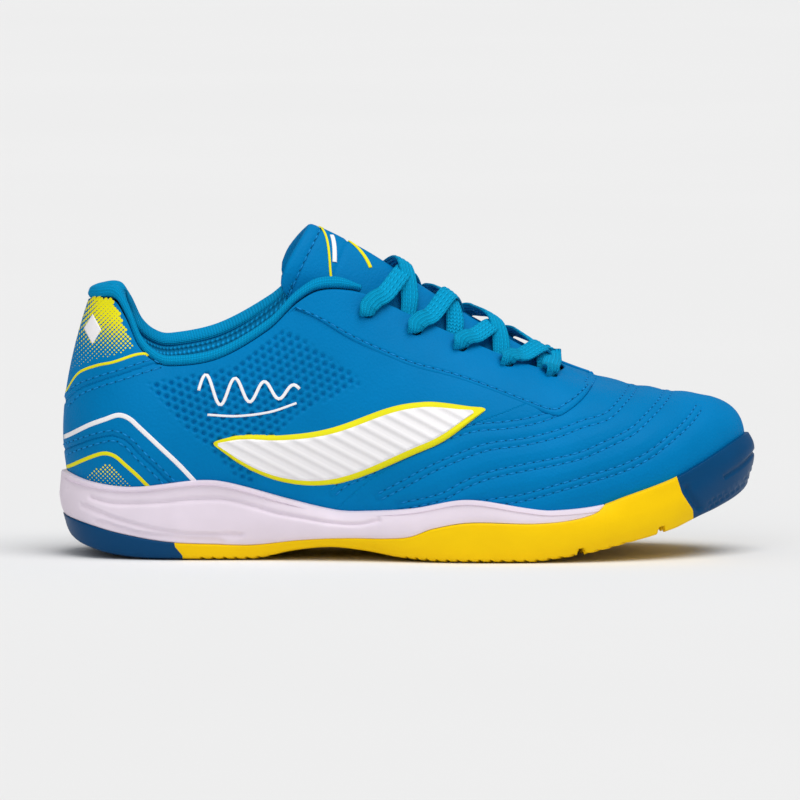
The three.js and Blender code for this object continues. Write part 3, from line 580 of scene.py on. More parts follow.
def relief(t, h):
    """Height of the upper's skin over its plain surface, in millimetres."""
    p = skin(t, h)
    flat = p[:, [0, 2]] / GRADE[[0, 2]]
    s = sizes()
    out = np.zeros(len(t))
    gaps = []
    for row in QUILT_ROWS:
        gap, _ = distance_to(flat, drawn(row, 2.0))
        gaps.append(gap)
        out += groove(gap - 1.15, 0.5, 0.3) + groove(gap, 0.5, -0.1)
    nearest = np.min(gaps, axis=0)
    fore = smooth(flat[:, 0], -30, 0)
    out += 0.42 * fore * smooth(nearest, 0.8, 5.0) * smooth(h, 0.02, 0.12) * (1 - smooth(h, 0.72, 0.9))
    for seam in (HEEL_TAB_SEAM, HEEL_BASE_SEAM):
        gap, _ = distance_to(flat, drawn(seam, 2.0))
        out += groove(gap, 0.5, 0.45)
    field = np.array(DIMPLE_FIELD)
    edge, _ = distance_to(flat, np.vstack([field, field[:1]]))
    within = inside(flat, field) * smooth(edge, 0.3, 2.0)
    pitch = s.dimple_pitch * 1000
    a = flat @ np.array([0.94, -0.34]) / pitch
    b = flat @ np.array([0.34, 0.94]) / (pitch * 0.82)
    a = a + 0.5 * (np.floor(b + 0.5) % 2)
    da, db = a - np.floor(a + 0.5), b - np.floor(b + 0.5)
    dent = np.exp(-(((da * pitch) ** 2 + (db * pitch * 0.82) ** 2) / 0.62) ** 1.5)
    out -= s.dimple_depth * 1000 * dent * within
    return out


def shoe_side(side, coarse=1.0):
    """The whole skin of one side as a fine grid."""
    per_cm = sizes().fineness / coarse
    across, along = int(26 * per_cm), int(7.0 * per_cm)
    start = 0.0 if side < 0 else TOE
    bm = bmesh.new()
    bmesh.ops.create_grid(bm, x_segments=across, y_segments=along, size=0.5)
    uv = np.array([v.co[:2] for v in bm.verts]) + 0.5
    t = start + uv[:, 0] * TOE
    h = lerp(0.0, 0.99, uv[:, 1])
    points = upper(t, h, relief(t, h))
    for v, p in zip(bm.verts, points):
        v.co = p
    return bm


def cut_out(bm, drop):
    """Takes the vertices marked in drop out of a bmesh."""
    gone = [v for v, out in zip(bm.verts, drop) if out]
    bmesh.ops.delete(bm, geom=gone, context="VERTS")
    return bm


def holes_at(points, side, radius):
    """Which points lie in an eyelet."""
    found = np.zeros(len(points), bool)
    for t in EYELETS[side]:
        centre = upper(np.array([t]), np.array([EYELET_HEIGHT]))[0]
        found |= np.linalg.norm(points - centre, axis=1) < radius * MM
    return found


def split_by(bm, label_of):
    """Separates a bmesh by a label of each face's centre: {label: bmesh}."""
    centres = np.array([f.calc_center_median() for f in bm.faces])
    labels = label_of(centres)
    parts = {}
    for label in sorted(set(labels)):
        part = bm.copy()
        part.faces.ensure_lookup_table()
        gone = [f for f, own in zip(part.faces, labels) if own != label]
        bmesh.ops.delete(part, geom=gone, context="FACES")
        parts[label] = part
    bm.free()
    return parts


def above(flat, line):
    """Which (x, z) points lie above a drawn line that runs towards the toe, within its length."""
    p = drawn(line, 1.0)
    x, z = flat[:, 0], flat[:, 1]
    return (z > np.interp(x, p[:, 0], p[:, 1])) & (x < p[-1, 0]) & (x > p[0, 0] - 8)


def below(flat, line):
    """Which (x, z) points lie below such a line, up to its end."""
    p = drawn(line, 1.0)
    x, z = flat[:, 0], flat[:, 1]
    return (z < np.interp(x, p[:, 0], p[:, 1])) & (x < p[-1, 0])


def build_skin(side):
    """Quarter, vamp half and heel panels of one side, cut along their seams."""
    name = "lateral" if side < 0 else "medial"
    bm = shoe_side(side, 1.0 if side < 0 else 1.5)
    points = np.array([v.co for v in bm.verts])
    cut_out(bm, holes_at(points, side, EYELET_RADIUS + 0.3))

    def label_of(centres):
        flat = centres[:, [0, 2]] / GRADE[[0, 2]]
        label = np.full(len(flat), "quarter", dtype="<U9")
        label[above(flat, HEEL_TAB_SEAM) & (flat[:, 0] < -80)] = "heel_tab"
        label[below(flat, HEEL_BASE_SEAM) & (flat[:, 0] < -78)] = "heel_base"
        seam = np.interp(flat[:, 0], [p[0] for p in VAMP_SEAM], [p[1] for p in VAMP_SEAM])
        label[(flat[:, 0] > 50) | ((flat[:, 0] > -28) & (flat[:, 1] < seam))] = "vamp"
        return label

    for part, piece_mesh in split_by(bm, label_of).items():
        piece = keep(f"{part}_skin_{name}", piece_mesh, "leather")
        thicken(piece, 0.9)
        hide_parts(f"quarter_{name}" if part == "quarter" else part)


# ------------------------------------------------------------------ sewing and printing
def frames_along(side, line, out):
    """Points, directions and outward normals along a drawn line laid on the upper."""
    t, h = FIND[side](line[:, 0], line[:, 1])
    points = upper(t, h, out)
    normals = skin_normal(t, h)
    along = unit(np.gradient(points, axis=0))
    return points, along, normals


def stitch_matrix(centre, along, normal, long, wide, high):
    """Places and sizes one stitch on the surface."""
    side = np.cross(normal, along)
    turn = Matrix(np.column_stack([along, side, normal]).tolist()).to_4x4()
    return Matrix.Translation(Vector(centre)) @ turn @ Matrix.Diagonal((long, wide, high, 1))


class Sewing:
    """Gathers rows of stitches and needle holes, and makes one piece of each."""

    def __init__(self):
        self.threads, self.holes = bmesh.new(), bmesh.new()

    def gather(self, row, into):
        mesh = bpy.data.meshes.new("row")
        row.to_mesh(mesh)
        row.free()
        into.from_mesh(mesh)
        bpy.data.meshes.remove(mesh)

    def row(self, points, along, normals):
        s = sizes()
        run = np.concatenate([[0], np.cumsum(np.linalg.norm(np.diff(points, axis=0), axis=1))])
        threads, holes = bmesh.new(), bmesh.new()
        for i in range(int(run[-1] / s.stitch_pitch)):
            at = (i + 0.5) * s.stitch_pitch
            p, a, n = (np.array([np.interp(at, run, q[:, k]) for k in range(3)])
                       for q in (points, along, normals))
            a, n = unit(a), unit(n)
            bmesh.ops.create_uvsphere(threads, u_segments=6, v_segments=5, radius=0.5,
                                      matrix=stitch_matrix(p, a, n, s.stitch, s.thread, s.thread * 0.8))
            end = p + a * s.stitch_pitch * 0.5
            # dark flat spot at the end of each stitch: painted shade of the needle hole
            bmesh.ops.create_uvsphere(holes, u_segments=5, v_segments=3, radius=0.5,
                                      matrix=stitch_matrix(end, a, n, s.thread * 1.5, s.thread * 1.1,
                                                           s.thread * 0.35))
        self.gather(threads, self.threads)
        self.gather(holes, self.holes)

    def drawn_row(self, side, line, out=0.05):
        self.row(*frames_along(side, line, out))

    def finish(self, name, body=BODY):
        return [keep(f"{name}_stitches", self.threads, "thread", body),
                keep(f"{name}_needle_hole_shades", self.holes, "hole", body)]


def ribbon(name, points, normals, width, material, out=0.12, body=BODY):
    """Thin printed strip along points on a surface."""
    across = np.cross(normals, unit(np.gradient(points, axis=0)))
    last = len(points) - 1

    def place(u, v):
        i = np.clip(np.round(u * last).astype(int), 0, last)
        lift = out * np.clip(12 * v * (1 - v), 0.15, 1)
        return points[i] + across[i] * ((v - 0.5) * width * MM)[:, None] + normals[i] * (lift * MM)[:, None]

    piece = keep(name, sheet(last, 6, place), material, body)
    return thicken(piece, 0.2)


def printed_line(name, side, line, width, material):
    points, _, normals = frames_along(side, drawn(line, 0.8), 0.0)
    return ribbon(name, points, normals, width, material)


def printed_patch(name, side, centre, one, other, material):
    """Printed rhombus on the side, between two directions in the drawing."""
    def place(u, v):
        flat = np.array(centre) + (u - 0.5)[:, None] * np.array(one) + (v - 0.5)[:, None] * np.array(other)
        t, h = FIND[side](flat[:, 0], flat[:, 1])
        return upper(t, h, 0.16)

    bm = sheet(12, 12, place)
    if side > 0:
        bmesh.ops.reverse_faces(bm, faces=bm.faces)
    return thicken(keep(name, bm, material), 0.2)


def dots(name, side, outline, pitch, radius_at, material):
    """Print of round dots on a slanting lattice inside an outline; radius_at gives a dot's size by height."""
    field = np.array(outline, float)
    low, high = field.min(0), field.max(0)
    spots = []
    for i in range(int((high[0] - low[0]) / pitch * 1.5) + 30):
        for j in range(int((high[1] - low[1]) / pitch * 2) + 30):
            spots.append((low[0] + (i - 8) * pitch + (j % 2) * pitch / 2, low[1] + (j - 8) * pitch / 2))
    spots = np.array(spots)
    spots = spots[inside(spots, field)]
    t, h = FIND[side](spots[:, 0], spots[:, 1])
    points, normals = upper(t, h, 0.1), skin_normal(t, h)
    off = np.linalg.norm((points[:, [0, 2]] / GRADE[[0, 2]]) - spots, axis=1)
    bm = bmesh.new()
    for spot, p, n, miss in zip(spots, points, normals, off):
        radius = radius_at(spot[1])
        if radius < 0.12 or miss > 0.6:
            continue
        turn = Vector(n).to_track_quat("Z", "Y").to_matrix().to_4x4()
        bmesh.ops.create_circle(bm, cap_ends=True, segments=9, radius=radius * MM,
                                matrix=Matrix.Translation(Vector(p)) @ turn)
    return keep(name, bm, material)


# ------------------------------------------------------------------ the sole's surface
tread_height = height_curve([
    (-118, 11.5), (-114, 5.8), (-106, 2.5), (-98, 0.9), (-90, 0.1), (-86, 0), (-80, 0), (-62, 0),
    (-56, 0), (-50, 0.4), (-41, 2.6), (-33, 3.8), (-25, 4.2), (-14, 3), (-4, 1.2), (6, 0.2), (10, 0),
    (14, 0), (38, 0), (42, 0), (47, 0.6), (60, 2.6), (72.5, 5.6), (88.8, 10), (97, 13.5), (105, 16.6),
    (113, 20.8), (117.5, 25.8),
])
band_top = height_curve([
    (-118, 13.6), (-110, 11.6), (-98, 8.6), (-82, 5.9), (-65, 5.1), (-53, 4.9), (-37, 6.6), (-21, 7.5),
    (-8, 7.6), (0, 8.4), (7.6, 11.3), (20, 13.5), (44, 13.3), (60, 15.6), (66, 20), (70, 32), (76, 60),
])
wall_top = height_curve([
    (-118, 27.8), (-112, 26), (-106, 24.8), (-98, 23.9), (-90, 24.1), (-73.5, 26.3), (-65.4, 26.4),
    (-57.3, 24.8), (-41, 20.2), (-25, 16.5), (-16.7, 16.2), (0, 17.5), (15.7, 20.7), (23.8, 20.7), (40, 18),
    (48.2, 17.2), (64.4, 18.7), (72.5, 21.4), (88.8, 27), (96.9, 31), (105, 35.4), (113, 39.6), (118, 41),
])


def sole_edge(t, out):
    """Point beside the feather line, out millimetres away from the foot."""
    along = feather_line(t + 0.02) - feather_line(t - 0.02)
    along[..., 2] = 0
    along = unit(along)
    side = np.stack([along[..., 1], -along[..., 0], np.zeros_like(along[..., 0])], -1)
    return feather_line(t) + side * out * MM


def ring(t, out, height_at):
    """Points beside the feather line at the height that height_at gives for their place."""
    p = sole_edge(t, out)
    p[..., 2] = height_at(p[..., 0])
    return p


def share(k):
    """Height at a share k of the way from the tread to the top of the wall."""
    return lambda x: lerp(tread_height(x), wall_top(x), k)


def wall_place(t):
    """h at which the upper's skin is as high as the top of the sole's wall."""
    low, high = np.zeros_like(t), np.full_like(t, 0.6)
    for _ in range(24):
        mid = (low + high) / 2
        p = upper(t, mid, 2.0)
        over = p[..., 2] > wall_top(p[..., 0])
        low, high = np.where(over, low, mid), np.where(over, mid, high)
    return (low + high) / 2


class Wall:
    """Outside of the sole's wall: at(t, k), with k from 0 at the ground to 1 at the lip on the upper."""

    def __init__(self, steps=1600):
        self.t = np.linspace(0, ROUND, steps + 1)
        t = self.t
        top = wall_place(t)
        self.rings = np.stack([
            ring(t, 0.2, tread_height),
            ring(t, 2.8, lambda x: tread_height(x) + 0.5 * MM),
            ring(t, 3.8, lambda x: tread_height(x) + 1.8 * MM),
            ring(t, 5.0, share(0.28)),
            ring(t, 5.6, share(0.52)),
            ring(t, 5.3, share(0.76)),
            upper(t, top * 0.97, 2.0),
            upper(t, top, 1.5),
            upper(t, top * 1.01, 0.2),
        ])
        self.levels = curve(np.column_stack([np.arange(9), np.arange(9)]))
        fine = np.linspace(0, 1, 65)
        self.fine = fine
        self.table = self.blend_rings(fine)
        band = band_top(self.table[:, :, 0])
        over = self.table[:, :, 2] > band
        over[-1] = True
        self.band = fine[np.argmax(over, axis=0)]
        first = np.argmax(over, axis=0)
        before = np.clip(first - 1, 0, None)
        cols = np.arange(len(t))
        za = self.table[before, cols, 2] - band[before, cols]
        zb = self.table[first, cols, 2] - band[first, cols]
        cut = np.clip(-za / np.where(np.abs(zb - za) < 1e-9, 1e-9, zb - za), 0, 1)
        self.band = lerp(fine[before], fine[first], np.where(first > 0, cut, 0))

    def blend_rings(self, ks):
        out = []
        for k in ks:
            place = k * 8
            i = min(7, int(place))
            u = place - i
            a, b, c, d = (self.rings[min(8, max(0, j))] for j in (i - 1, i, i + 1, i + 2))
            out.append(0.5 * (2 * b + (c - a) * u + (2 * a - 5 * b + 4 * c - d) * u * u
                              + (3 * b - a - 3 * c + d) * u ** 3))
        return np.array(out)

    def at(self, t, k):
        t = np.mod(t, ROUND)
        i = np.clip(t / ROUND * (len(self.t) - 1), 0, len(self.t) - 1.0001)
        j = np.clip(k, 0, 1) * 64
        i0, j0 = i.astype(int), np.minimum(63, j.astype(int))
        u, w = (i - i0)[:, None], (j - j0)[:, None]
        tab = self.table
        return lerp(lerp(tab[j0, i0], tab[j0, i0 + 1], u), lerp(tab[j0 + 1, i0], tab[j0 + 1, i0 + 1], u), w)

    def band_at(self, t):
        return np.interp(np.mod(t, ROUND), self.t, self.band)

    def normal(self, t, k):
        k = np.clip(k, 0.01, 0.99)
        along = self.at(t + 0.02, k) - self.at(t - 0.02, k)
        rise = self.at(t, np.clip(k + 0.02, 0, 1)) - self.at(t, k - 0.01)
        return unit(np.cross(along, rise))

    def place_on(self, side, share_of_band, line):
        """t at which the wall, at that share of the band's height, meets a line x(z) on one side."""
        span = np.linspace(0.3, TOE - 0.1, 500) if side < 0 else np.linspace(ROUND - 0.3, TOE + 0.1, 500)
        p = self.at(span, share_of_band * self.band_at(span)) / GRADE
        over = p[:, 0] - np.interp(p[:, 2], [q[1] for q in line], [q[0] for q in line])
        i = int(np.argmax(over > 0))
        return float(np.interp(0, [over[i - 1], over[i]], [span[i - 1], span[i]]))


GROOVES = (14, 24, 33, 42, 51.5, 66, 80)
OPEN_GROOVES = (51.5, 80)  # these two run out through the side of the sole
GROOVE_TURN = -0.16
CAP_GROOVE = [(119, 35.5), (113.5, 31), (106.5, 27)]
CAP_STEP = [(93.6, 23.8), (95.3, 20.2), (97.4, 17)]
HEEL_END = [(-75.5, -9), (-76.5, 1.5), (-79, 4.5), (-83, 30)]
TOE_END = [(97, -9), (95.6, 16.5), (91.8, 22.5), (90, 28), (89.6, 60)]
SOLE_GROOVE = [(-107.5, 20.5), (-101, 19), (-91.5, 19), (-82.5, 19.5), (-74, 20.5), (-62.5, 20.5),
               (-53.5, 18.5), (-45, 16), (-36.5, 14.5), (-27.5, 13), (-17, 12.5), (-10.5, 14)]
FLUTES = [
    [(-109.5, 18), (-100, 14.5), (-89, 11.5), (-78.5, 9.5), (-68, 9), (-57.5, 9)],
    [(-104.5, 13), (-91.5, 9.5), (-78.5, 8), (-63.5, 7)],
]
FLUTE_DEPTH = 0.75


def tread_relief(p, walls):
    """How deep the tread is cut at a point, in millimetres: flex grooves and slanting serrations."""
    x, y = p[:, 0] / GRADE[0], p[:, 1] / GRADE[1]
    along = x * math.cos(GROOVE_TURN) - y * math.sin(GROOVE_TURN)
    deep = np.zeros(len(x))
    for row in GROOVES:
        gap = np.abs(along - row * math.cos(GROOVE_TURN))
        inner = 1.0 if row in OPEN_GROOVES else 1 - smooth(np.abs(y), 24, 29)
        deep = np.maximum(deep, 2.6 * (1 - smooth(gap, 1.1, 1.5)) * inner)
    wave = np.abs(((x + 0.45 * np.abs(y)) / 3.8) % 1.0 - 0.5)
    zones = (smooth(x, -74, -70) - smooth(x, -50, -44)) + (smooth(x, -5, 0) - smooth(x, 74, 78))
    if not walls:
        zones = np.ones(len(x))
    return np.maximum(deep, 1.1 * smooth(wave, 0.2, 0.42) * zones)


def cap_relief(p):
    """How deep the toe cap's side is cut: a groove around it, a step behind it and a knurled lower edge."""
    flat = p[:, [0, 2]] / GRADE[[0, 2]]
    groove_gap, _ = distance_to(flat, drawn(CAP_GROOVE, 0.5))
    step_gap, _ = distance_to(flat, drawn(CAP_STEP, 0.5))
    over = flat[:, 1] - tread_height(p[:, 0]) / GRADE[2]
    one_way = np.sin(flat[:, 0] * 1.3 + flat[:, 1] * 0.8)
    other_way = np.sin(flat[:, 0] * 0.9 - flat[:, 1] * 1.6)
    knurl = np.abs(one_way * other_way)
    low = smooth(over, 0.6, 1.6) * (1 - smooth(over, 3.6, 5.0)) * smooth(flat[:, 0], 99, 103)
    return (0.8 * np.exp(-(groove_gap / 0.45) ** 2) + 1.0 * np.exp(-(step_gap / 1.1) ** 2)
            + 0.5 * knurl * low)


def sole_part(name, wall, behind, ahead, steps, material, nodes, walls=26):
    """Rubber between two lines across the sole: both walls up to the band and the tread between them."""
    floor = 46
    ladder = [(-1, 1 - i / walls, 0.0) for i in range(walls)]
    ladder += [(0, 0.0, i / floor) for i in range(floor + 1)]
    ladder += [(1, (i + 1) / walls, 1.0) for i in range(walls)]
    ends = {}
    for side in (-1, 1):
        for q in sorted({level[1] for level in ladder}):
            heel, toe = (0.0, TOE) if side < 0 else (ROUND, TOE)
            start = wall.place_on(side, q, behind) if behind else heel
            end = wall.place_on(side, q, ahead) if ahead else toe
            ends[side, q] = (start, end)
    columns = []
    u = np.linspace(0, 1, steps + 1)
    for side, q, across in ladder:
        if side:
            t = lerp(*ends[side, q], u)
            k = q * wall.band_at(t)
            p, n = wall.at(t, k), wall.normal(t, np.maximum(k, 0.02))
            p = p - n * (cap_relief(p) * MM)[:, None]
            p[:, 2] = np.maximum(p[:, 2], tread_height(p[:, 0]) + tread_relief(p, True) * MM)
        else:
            a, b = (wall.at(lerp(*ends[s, 0.0], u), np.zeros_like(u)) for s in (-1, 1))
            p = lerp(a, b, across)
            p[:, 2] = tread_height(p[:, 0]) + tread_relief(p, False) * MM
        columns.append(p)
    table = np.array(columns)
    last = len(ladder) - 1

    def place(gu, gv):
        return table[np.round((1 - gv) * last).astype(int), np.round(gu * steps).astype(int)]

    bm = weld(sheet(steps, last, place))
    piece = keep(name, bm, material)
    thicken(piece, 2.0)
    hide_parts(*nodes)
    return piece


def midsole_part(wall):
    """Foam of the side wall, from the rubber's edge up to the lip on the upper."""
    steps, rows = ((720, 56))
    span = wall.t[wall.band < 0.93]
    first = span[span < TOE].max()
    last = span[span > TOE].min() - ROUND

    def place(u, v):
        t = lerp(last, first, u)
        k = lerp(np.minimum(wall.band_at(t) + 0.004, 0.99), 1.0, v)
        p, n = wall.at(t, k), wall.normal(t, k)
        flat = p[:, [0, 2]] / GRADE[[0, 2]]
        deep = 0.9 * np.exp(-(distance_to(flat, drawn(SOLE_GROOVE, 3))[0] / 0.75) ** 2)
        for flute in FLUTES:
            gap, hand = distance_to(flat, drawn(flute, 3))
            reach = np.where(hand < 0, 2.6, 0.5)  # soft below the flute, sharp above it
            deep = np.maximum(deep, FLUTE_DEPTH * (1 - smooth(gap / reach, 0, 1)))
        edge = 0.35 * np.exp(-((k - wall.band_at(t)) / 0.035) ** 2)
        return p - n * ((deep + edge) * MM)[:, None]

    piece = keep("midsole_foam", sheet(steps, rows, place), "midsole")
    thicken(piece, 1.6)
    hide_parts("midsole")


# ------------------------------------------------------------------ swept pieces
def tube(centres, wides, thicks, sides, ribs=0.0, uv_round=0.02):
    """Rounded strip through sections, closed at both ends, with a UV map in metres."""
    count = len(centres)
    run = np.concatenate([[0], np.cumsum(np.linalg.norm(np.diff(centres, axis=0), axis=1))])

    def place(u, v):
        i = np.round(v * (count - 1)).astype(int)
        angle = 2 * np.pi * u
        rib = 1 + ribs * np.cos(angle * 12) * np.abs(np.sin(angle))
        c, s = np.cos(angle), np.sin(angle)
        flat = np.sign(s) * np.abs(s) ** 0.6
        return centres[i] + wides[i] * c[:, None] + thicks[i] * (flat * rib)[:, None]

    bm = sheet(sides, count - 1, place, (uv_round, float(run[-1])))
    weld(bm, 1e-6)
    bmesh.ops.holes_fill(bm, edges=[e for e in bm.edges if e.is_boundary], sides=sides + 1)
    bmesh.ops.recalc_face_normals(bm, faces=bm.faces)
    return bm


def centripetal(points, per_span):
    """Catmull-Rom curve through points, with spans timed by the root of their length."""
    p = np.array(points)
    ext = np.vstack([2 * p[0] - p[1], p, 2 * p[-1] - p[-2]])
    spans = np.maximum(np.linalg.norm(np.diff(ext, axis=0), axis=1), 1e-7)
    knots = np.concatenate([[0], np.cumsum(spans ** 0.5)])
    out, place = [], []
    for i in range(1, len(ext) - 2):
        k0, k1, k2, k3 = knots[i - 1:i + 3]
        a, b, c, d = ext[i - 1:i + 3]
        for u in np.linspace(0, 1, per_span, endpoint=False):
            k = lerp(k1, k2, u)
            ab = lerp(a, b, (k - k0) / (k1 - k0))
            bc = lerp(b, c, (k - k1) / (k2 - k1))
            cd = lerp(c, d, (k - k2) / (k3 - k2))
            abc = lerp(ab, bc, (k - k0) / (k2 - k0))
            bcd = lerp(bc, cd, (k - k1) / (k3 - k1))
            out.append(lerp(abc, bcd, (k - k1) / (k2 - k1)))
            place.append(i - 1 + u)
    out.append(p[-1])
    place.append(len(p) - 1)
    return np.array(out), np.array(place)


# ------------------------------------------------------------------ tongue
ridge = curve([(-34.5, 0, 112), (-28.9, 0, 109.9), (-20.8, 0, 105.9), (-12.7, 0, 101.4), (-4, 0, 95.8),
               (8, 0, 88), (20, 0, 80.2), (32, 0, 73.4), (44, 0, 66.6), (52, 0, 59.8), (62, 0, 54)])
free_shoulder = curve([(-34.5, -41, 12.4, 100), (-26, -32.5, 12, 95.5), (-18, -25, 11.6, 91.5),
                       (-4, -12, 11.4, 84)])
free_side = curve([(-34.5, -45.5, 13.4, 88.5), (-26, -38, 13.4, 83.5), (-18, -29.5, 13.2, 79),
                   (-4, -15, 13, 71)])
TONGUE_DEPTH = SKIN + LOOSE_GAP + LINING + LACE + 6 * SEAT_GAP
TONGUE_END = -34.5
TONGUE_ROOT = 58.0
ROOT_START = 36.0


def place_at_x(x, side):
    """t of the opening edge at a place along the shoe."""
    span = np.linspace(4.1, TOE, 300) if side < 0 else np.linspace(ROUND - 4.1, TOE, 300)
    return float(np.interp(x * GRADE[0], opening_line(span)[:, 0], span))


def tongue_row(x):
    def side_point(side, h, free):
        level = min(x, ROOT_START)
        behind = (level - 9 * (1 - smooth(x, -10, 20))) * 1.0
        t = place_at_x(max(behind, opening_line(np.array(4.1))[0] / GRADE[0]), side)
        held = upper(np.array(t), np.array(h), -TONGUE_DEPTH - 0.9 * (1 - smooth(x, -12, 2)))
        held = held + np.array([(x - level) * GRADE[0], 0, -(x - level) * 0.5 * GRADE[2]])
        loose = free(x) * GRADE
        loose[1] *= side
        if side > 0:
            loose[2] += 3 * GRADE[2]
        return lerp(held, loose, 1 - smooth(x, -17, 1))

    top = np.array([x, *ridge(x)]) * GRADE
    points = [side_point(-1, 0.8, free_side), side_point(-1, 0.985, free_shoulder), top,
              side_point(1, 0.985, free_shoulder), side_point(1, 0.8, free_side)]
    fine, place = centripetal(points, 24)
    return np.stack([np.interp(np.linspace(0, 4, 97), place, fine[:, k]) for k in range(3)], -1)


class Tongue:
    """Top surface of the tongue: at(x, v, out), x in millimetres and v from 0 outside to 1 inside."""

    def __init__(self):
        self.x = np.linspace(TONGUE_END - 1, TONGUE_ROOT + 2, 192)
        self.table = np.array([tongue_row(x) for x in self.x])

    def flat(self, x, v):
        i = np.clip(np.interp(x, self.x, np.arange(len(self.x))), 0, len(self.x) - 1.001)
        j = np.clip(v, 0, 1) * 96
        i0, j0 = i.astype(int), np.minimum(95, j.astype(int))
        u, w = (i - i0)[..., None], (j - j0)[..., None]
        tab = self.table
        return lerp(lerp(tab[i0, j0], tab[i0 + 1, j0], u), lerp(tab[i0, j0 + 1], tab[i0 + 1, j0 + 1], u), w)

    def at(self, x, v, out=0.0):
        x, v = np.broadcast_arrays(np.asarray(x, float), np.asarray(v, float))
        normal = normal_of(self.flat, x, np.clip(v, 0.02, 0.98), 0.8, 0.02)
        return self.flat(x, v) + normal * (np.asarray(out, float) * MM)[..., None]


def pad_at(x, v):
    """Thickness of the tongue's padding in millimetres, thin towards its edges."""
    sides = np.minimum(1, 6 * np.minimum(v, 1 - v))
    ends = np.minimum(1, np.minimum((x - TONGUE_END) / 4, (TONGUE_ROOT + 2 - x) / 12))
    padding = lerp(TONGUE_PADDING, TONGUE_TOP_PADDING, 1 - smooth(x, -26, -8))
    return padding * np.maximum(0.25, sides * ends)


def bend_with_tongue(piece, tongue):
    """The piece bends smoothly from the shoe's body to the flap's."""
    tuple(tongue.at(-4.0, 0.5))
    tuple(tongue.at(-19.0, 0.5))
    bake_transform(piece)


TONGUE_MARKS = (  # name, start and end as (x, v), width and finish
    ("seam", (-30.5, 0.5), (-17.0, 0.2), 0.9, "trim"),
    ("seam_inner", (-30.5, 0.5), (-17.0, 0.8), 0.9, "trim"),
    ("bar_white", (-26.0, 0.46), (-21.5, 0.34), 1.6, "white"),
    ("bar_yellow", (-20.5, 0.5), (-11.0, 0.4), 1.4, "trim"),
)


def mark_tongue(tongue):
    """Yellow seam lines, two plain bars and a stitched edge on the tongue."""
    for name, start, end, width, material in TONGUE_MARKS:
        k = np.linspace(0, 1, 40)
        x, v = lerp(start[0], end[0], k), lerp(start[1], end[1], k)
        points = tongue.at(x, v)
        normals = unit(tongue.at(x, v, 1.0) - points)
        bend_with_tongue(ribbon(f"tongue_{name}", points, normals, width, material, 0.2, None), tongue)
    sewing = Sewing()
    v = np.linspace(0.04, 0.96, 120)
    points = tongue.at(-30.0, v)
    sewing.row(points, unit(np.gradient(points, axis=0)), unit(tongue.at(-30.0, v, 1.0) - points))
    for piece in sewing.finish("tongue", None):
        bend_with_tongue(piece, tongue)


def build_tongue(tongue):
    steps, around = ((150, 90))

    def place(u, v):
        angle = 2 * np.pi * u
        x = lerp(TONGUE_ROOT, TONGUE_END, v)
        corner = 1 - np.clip((x - TONGUE_END) / 9, 0, 1)
        across = 0.5 - 0.5 * np.cos(angle) * (0.74 + 0.26 * np.sqrt(1 - corner ** 2))
        thick = 2.2 + pad_at(x, across)
        tip = np.clip((1 - np.abs(2 * v - 1)) / 0.03, 0, 1) ** 0.5
        body = np.sign(np.sin(angle)) * np.abs(np.sin(angle)) ** 0.4 * tip
        top = np.sin(angle) > 0
        quilt = 0.35 * np.exp(-((x - TONGUE_END - 4.5) / 0.7) ** 2)
        quilt = np.maximum(quilt, 0.45 * np.exp(-((x + 21.0 - 6 * np.abs(across - 0.5)) / 0.6) ** 2))
        out = -thick / 2 + body * thick / 2 - quilt * top
        return tongue.at(x, across, out)

    bm = weld(sheet(around, steps, place, (0.09, 0.1)), 2e-6)
    bmesh.ops.holes_fill(bm, edges=[e for e in bm.edges if e.is_boundary], sides=around + 1)
    bmesh.ops.recalc_face_normals(bm, faces=bm.faces)
    piece = keep("tongue_pad", bm, "leather", body=None)
    piece.data.materials.append(finish("lining"))
    for face in piece.data.polygons:
        if face.normal.z < -0.15:
            face.material_index = 1
    bend_with_tongue(piece, tongue)
    mark_tongue(tongue)
    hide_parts("tongue", "tongue_foam", "tongue_lining",
                "tongue_top", "tongue_top_foam", "tongue_top_lining")


# ------------------------------------------------------------------ lace
LACE_UNDER = SKIN + LOOSE_GAP + LINING + SEAT_GAP * 2.7 + LACE / 2
LACE_OVER = FACING + FACING_SEAT + SEAT_GAP + LACE / 2


BAR_PLACE = 48.6
BAR_HEIGHT = 3.4


def throat_place(x, h, side):
    """t of the point beside the throat at height h and length x, in millimetres."""
    t = np.linspace(3.5, 7.9, 160)
    t = t if side < 0 else ROUND - t
    along = skin(t, np.full_like(t, h))[:, 0] / GRADE[0]
    order = np.argsort(along)
    return float(np.interp(x, along[order], t[order]))


def settled(place, x):
    """Where place must aim for its point, offset and all, to lie at the length x."""
    aim = x
    for _ in range(4):
        aim += x - float(place(aim)[0]) / GRADE[0]
    return aim


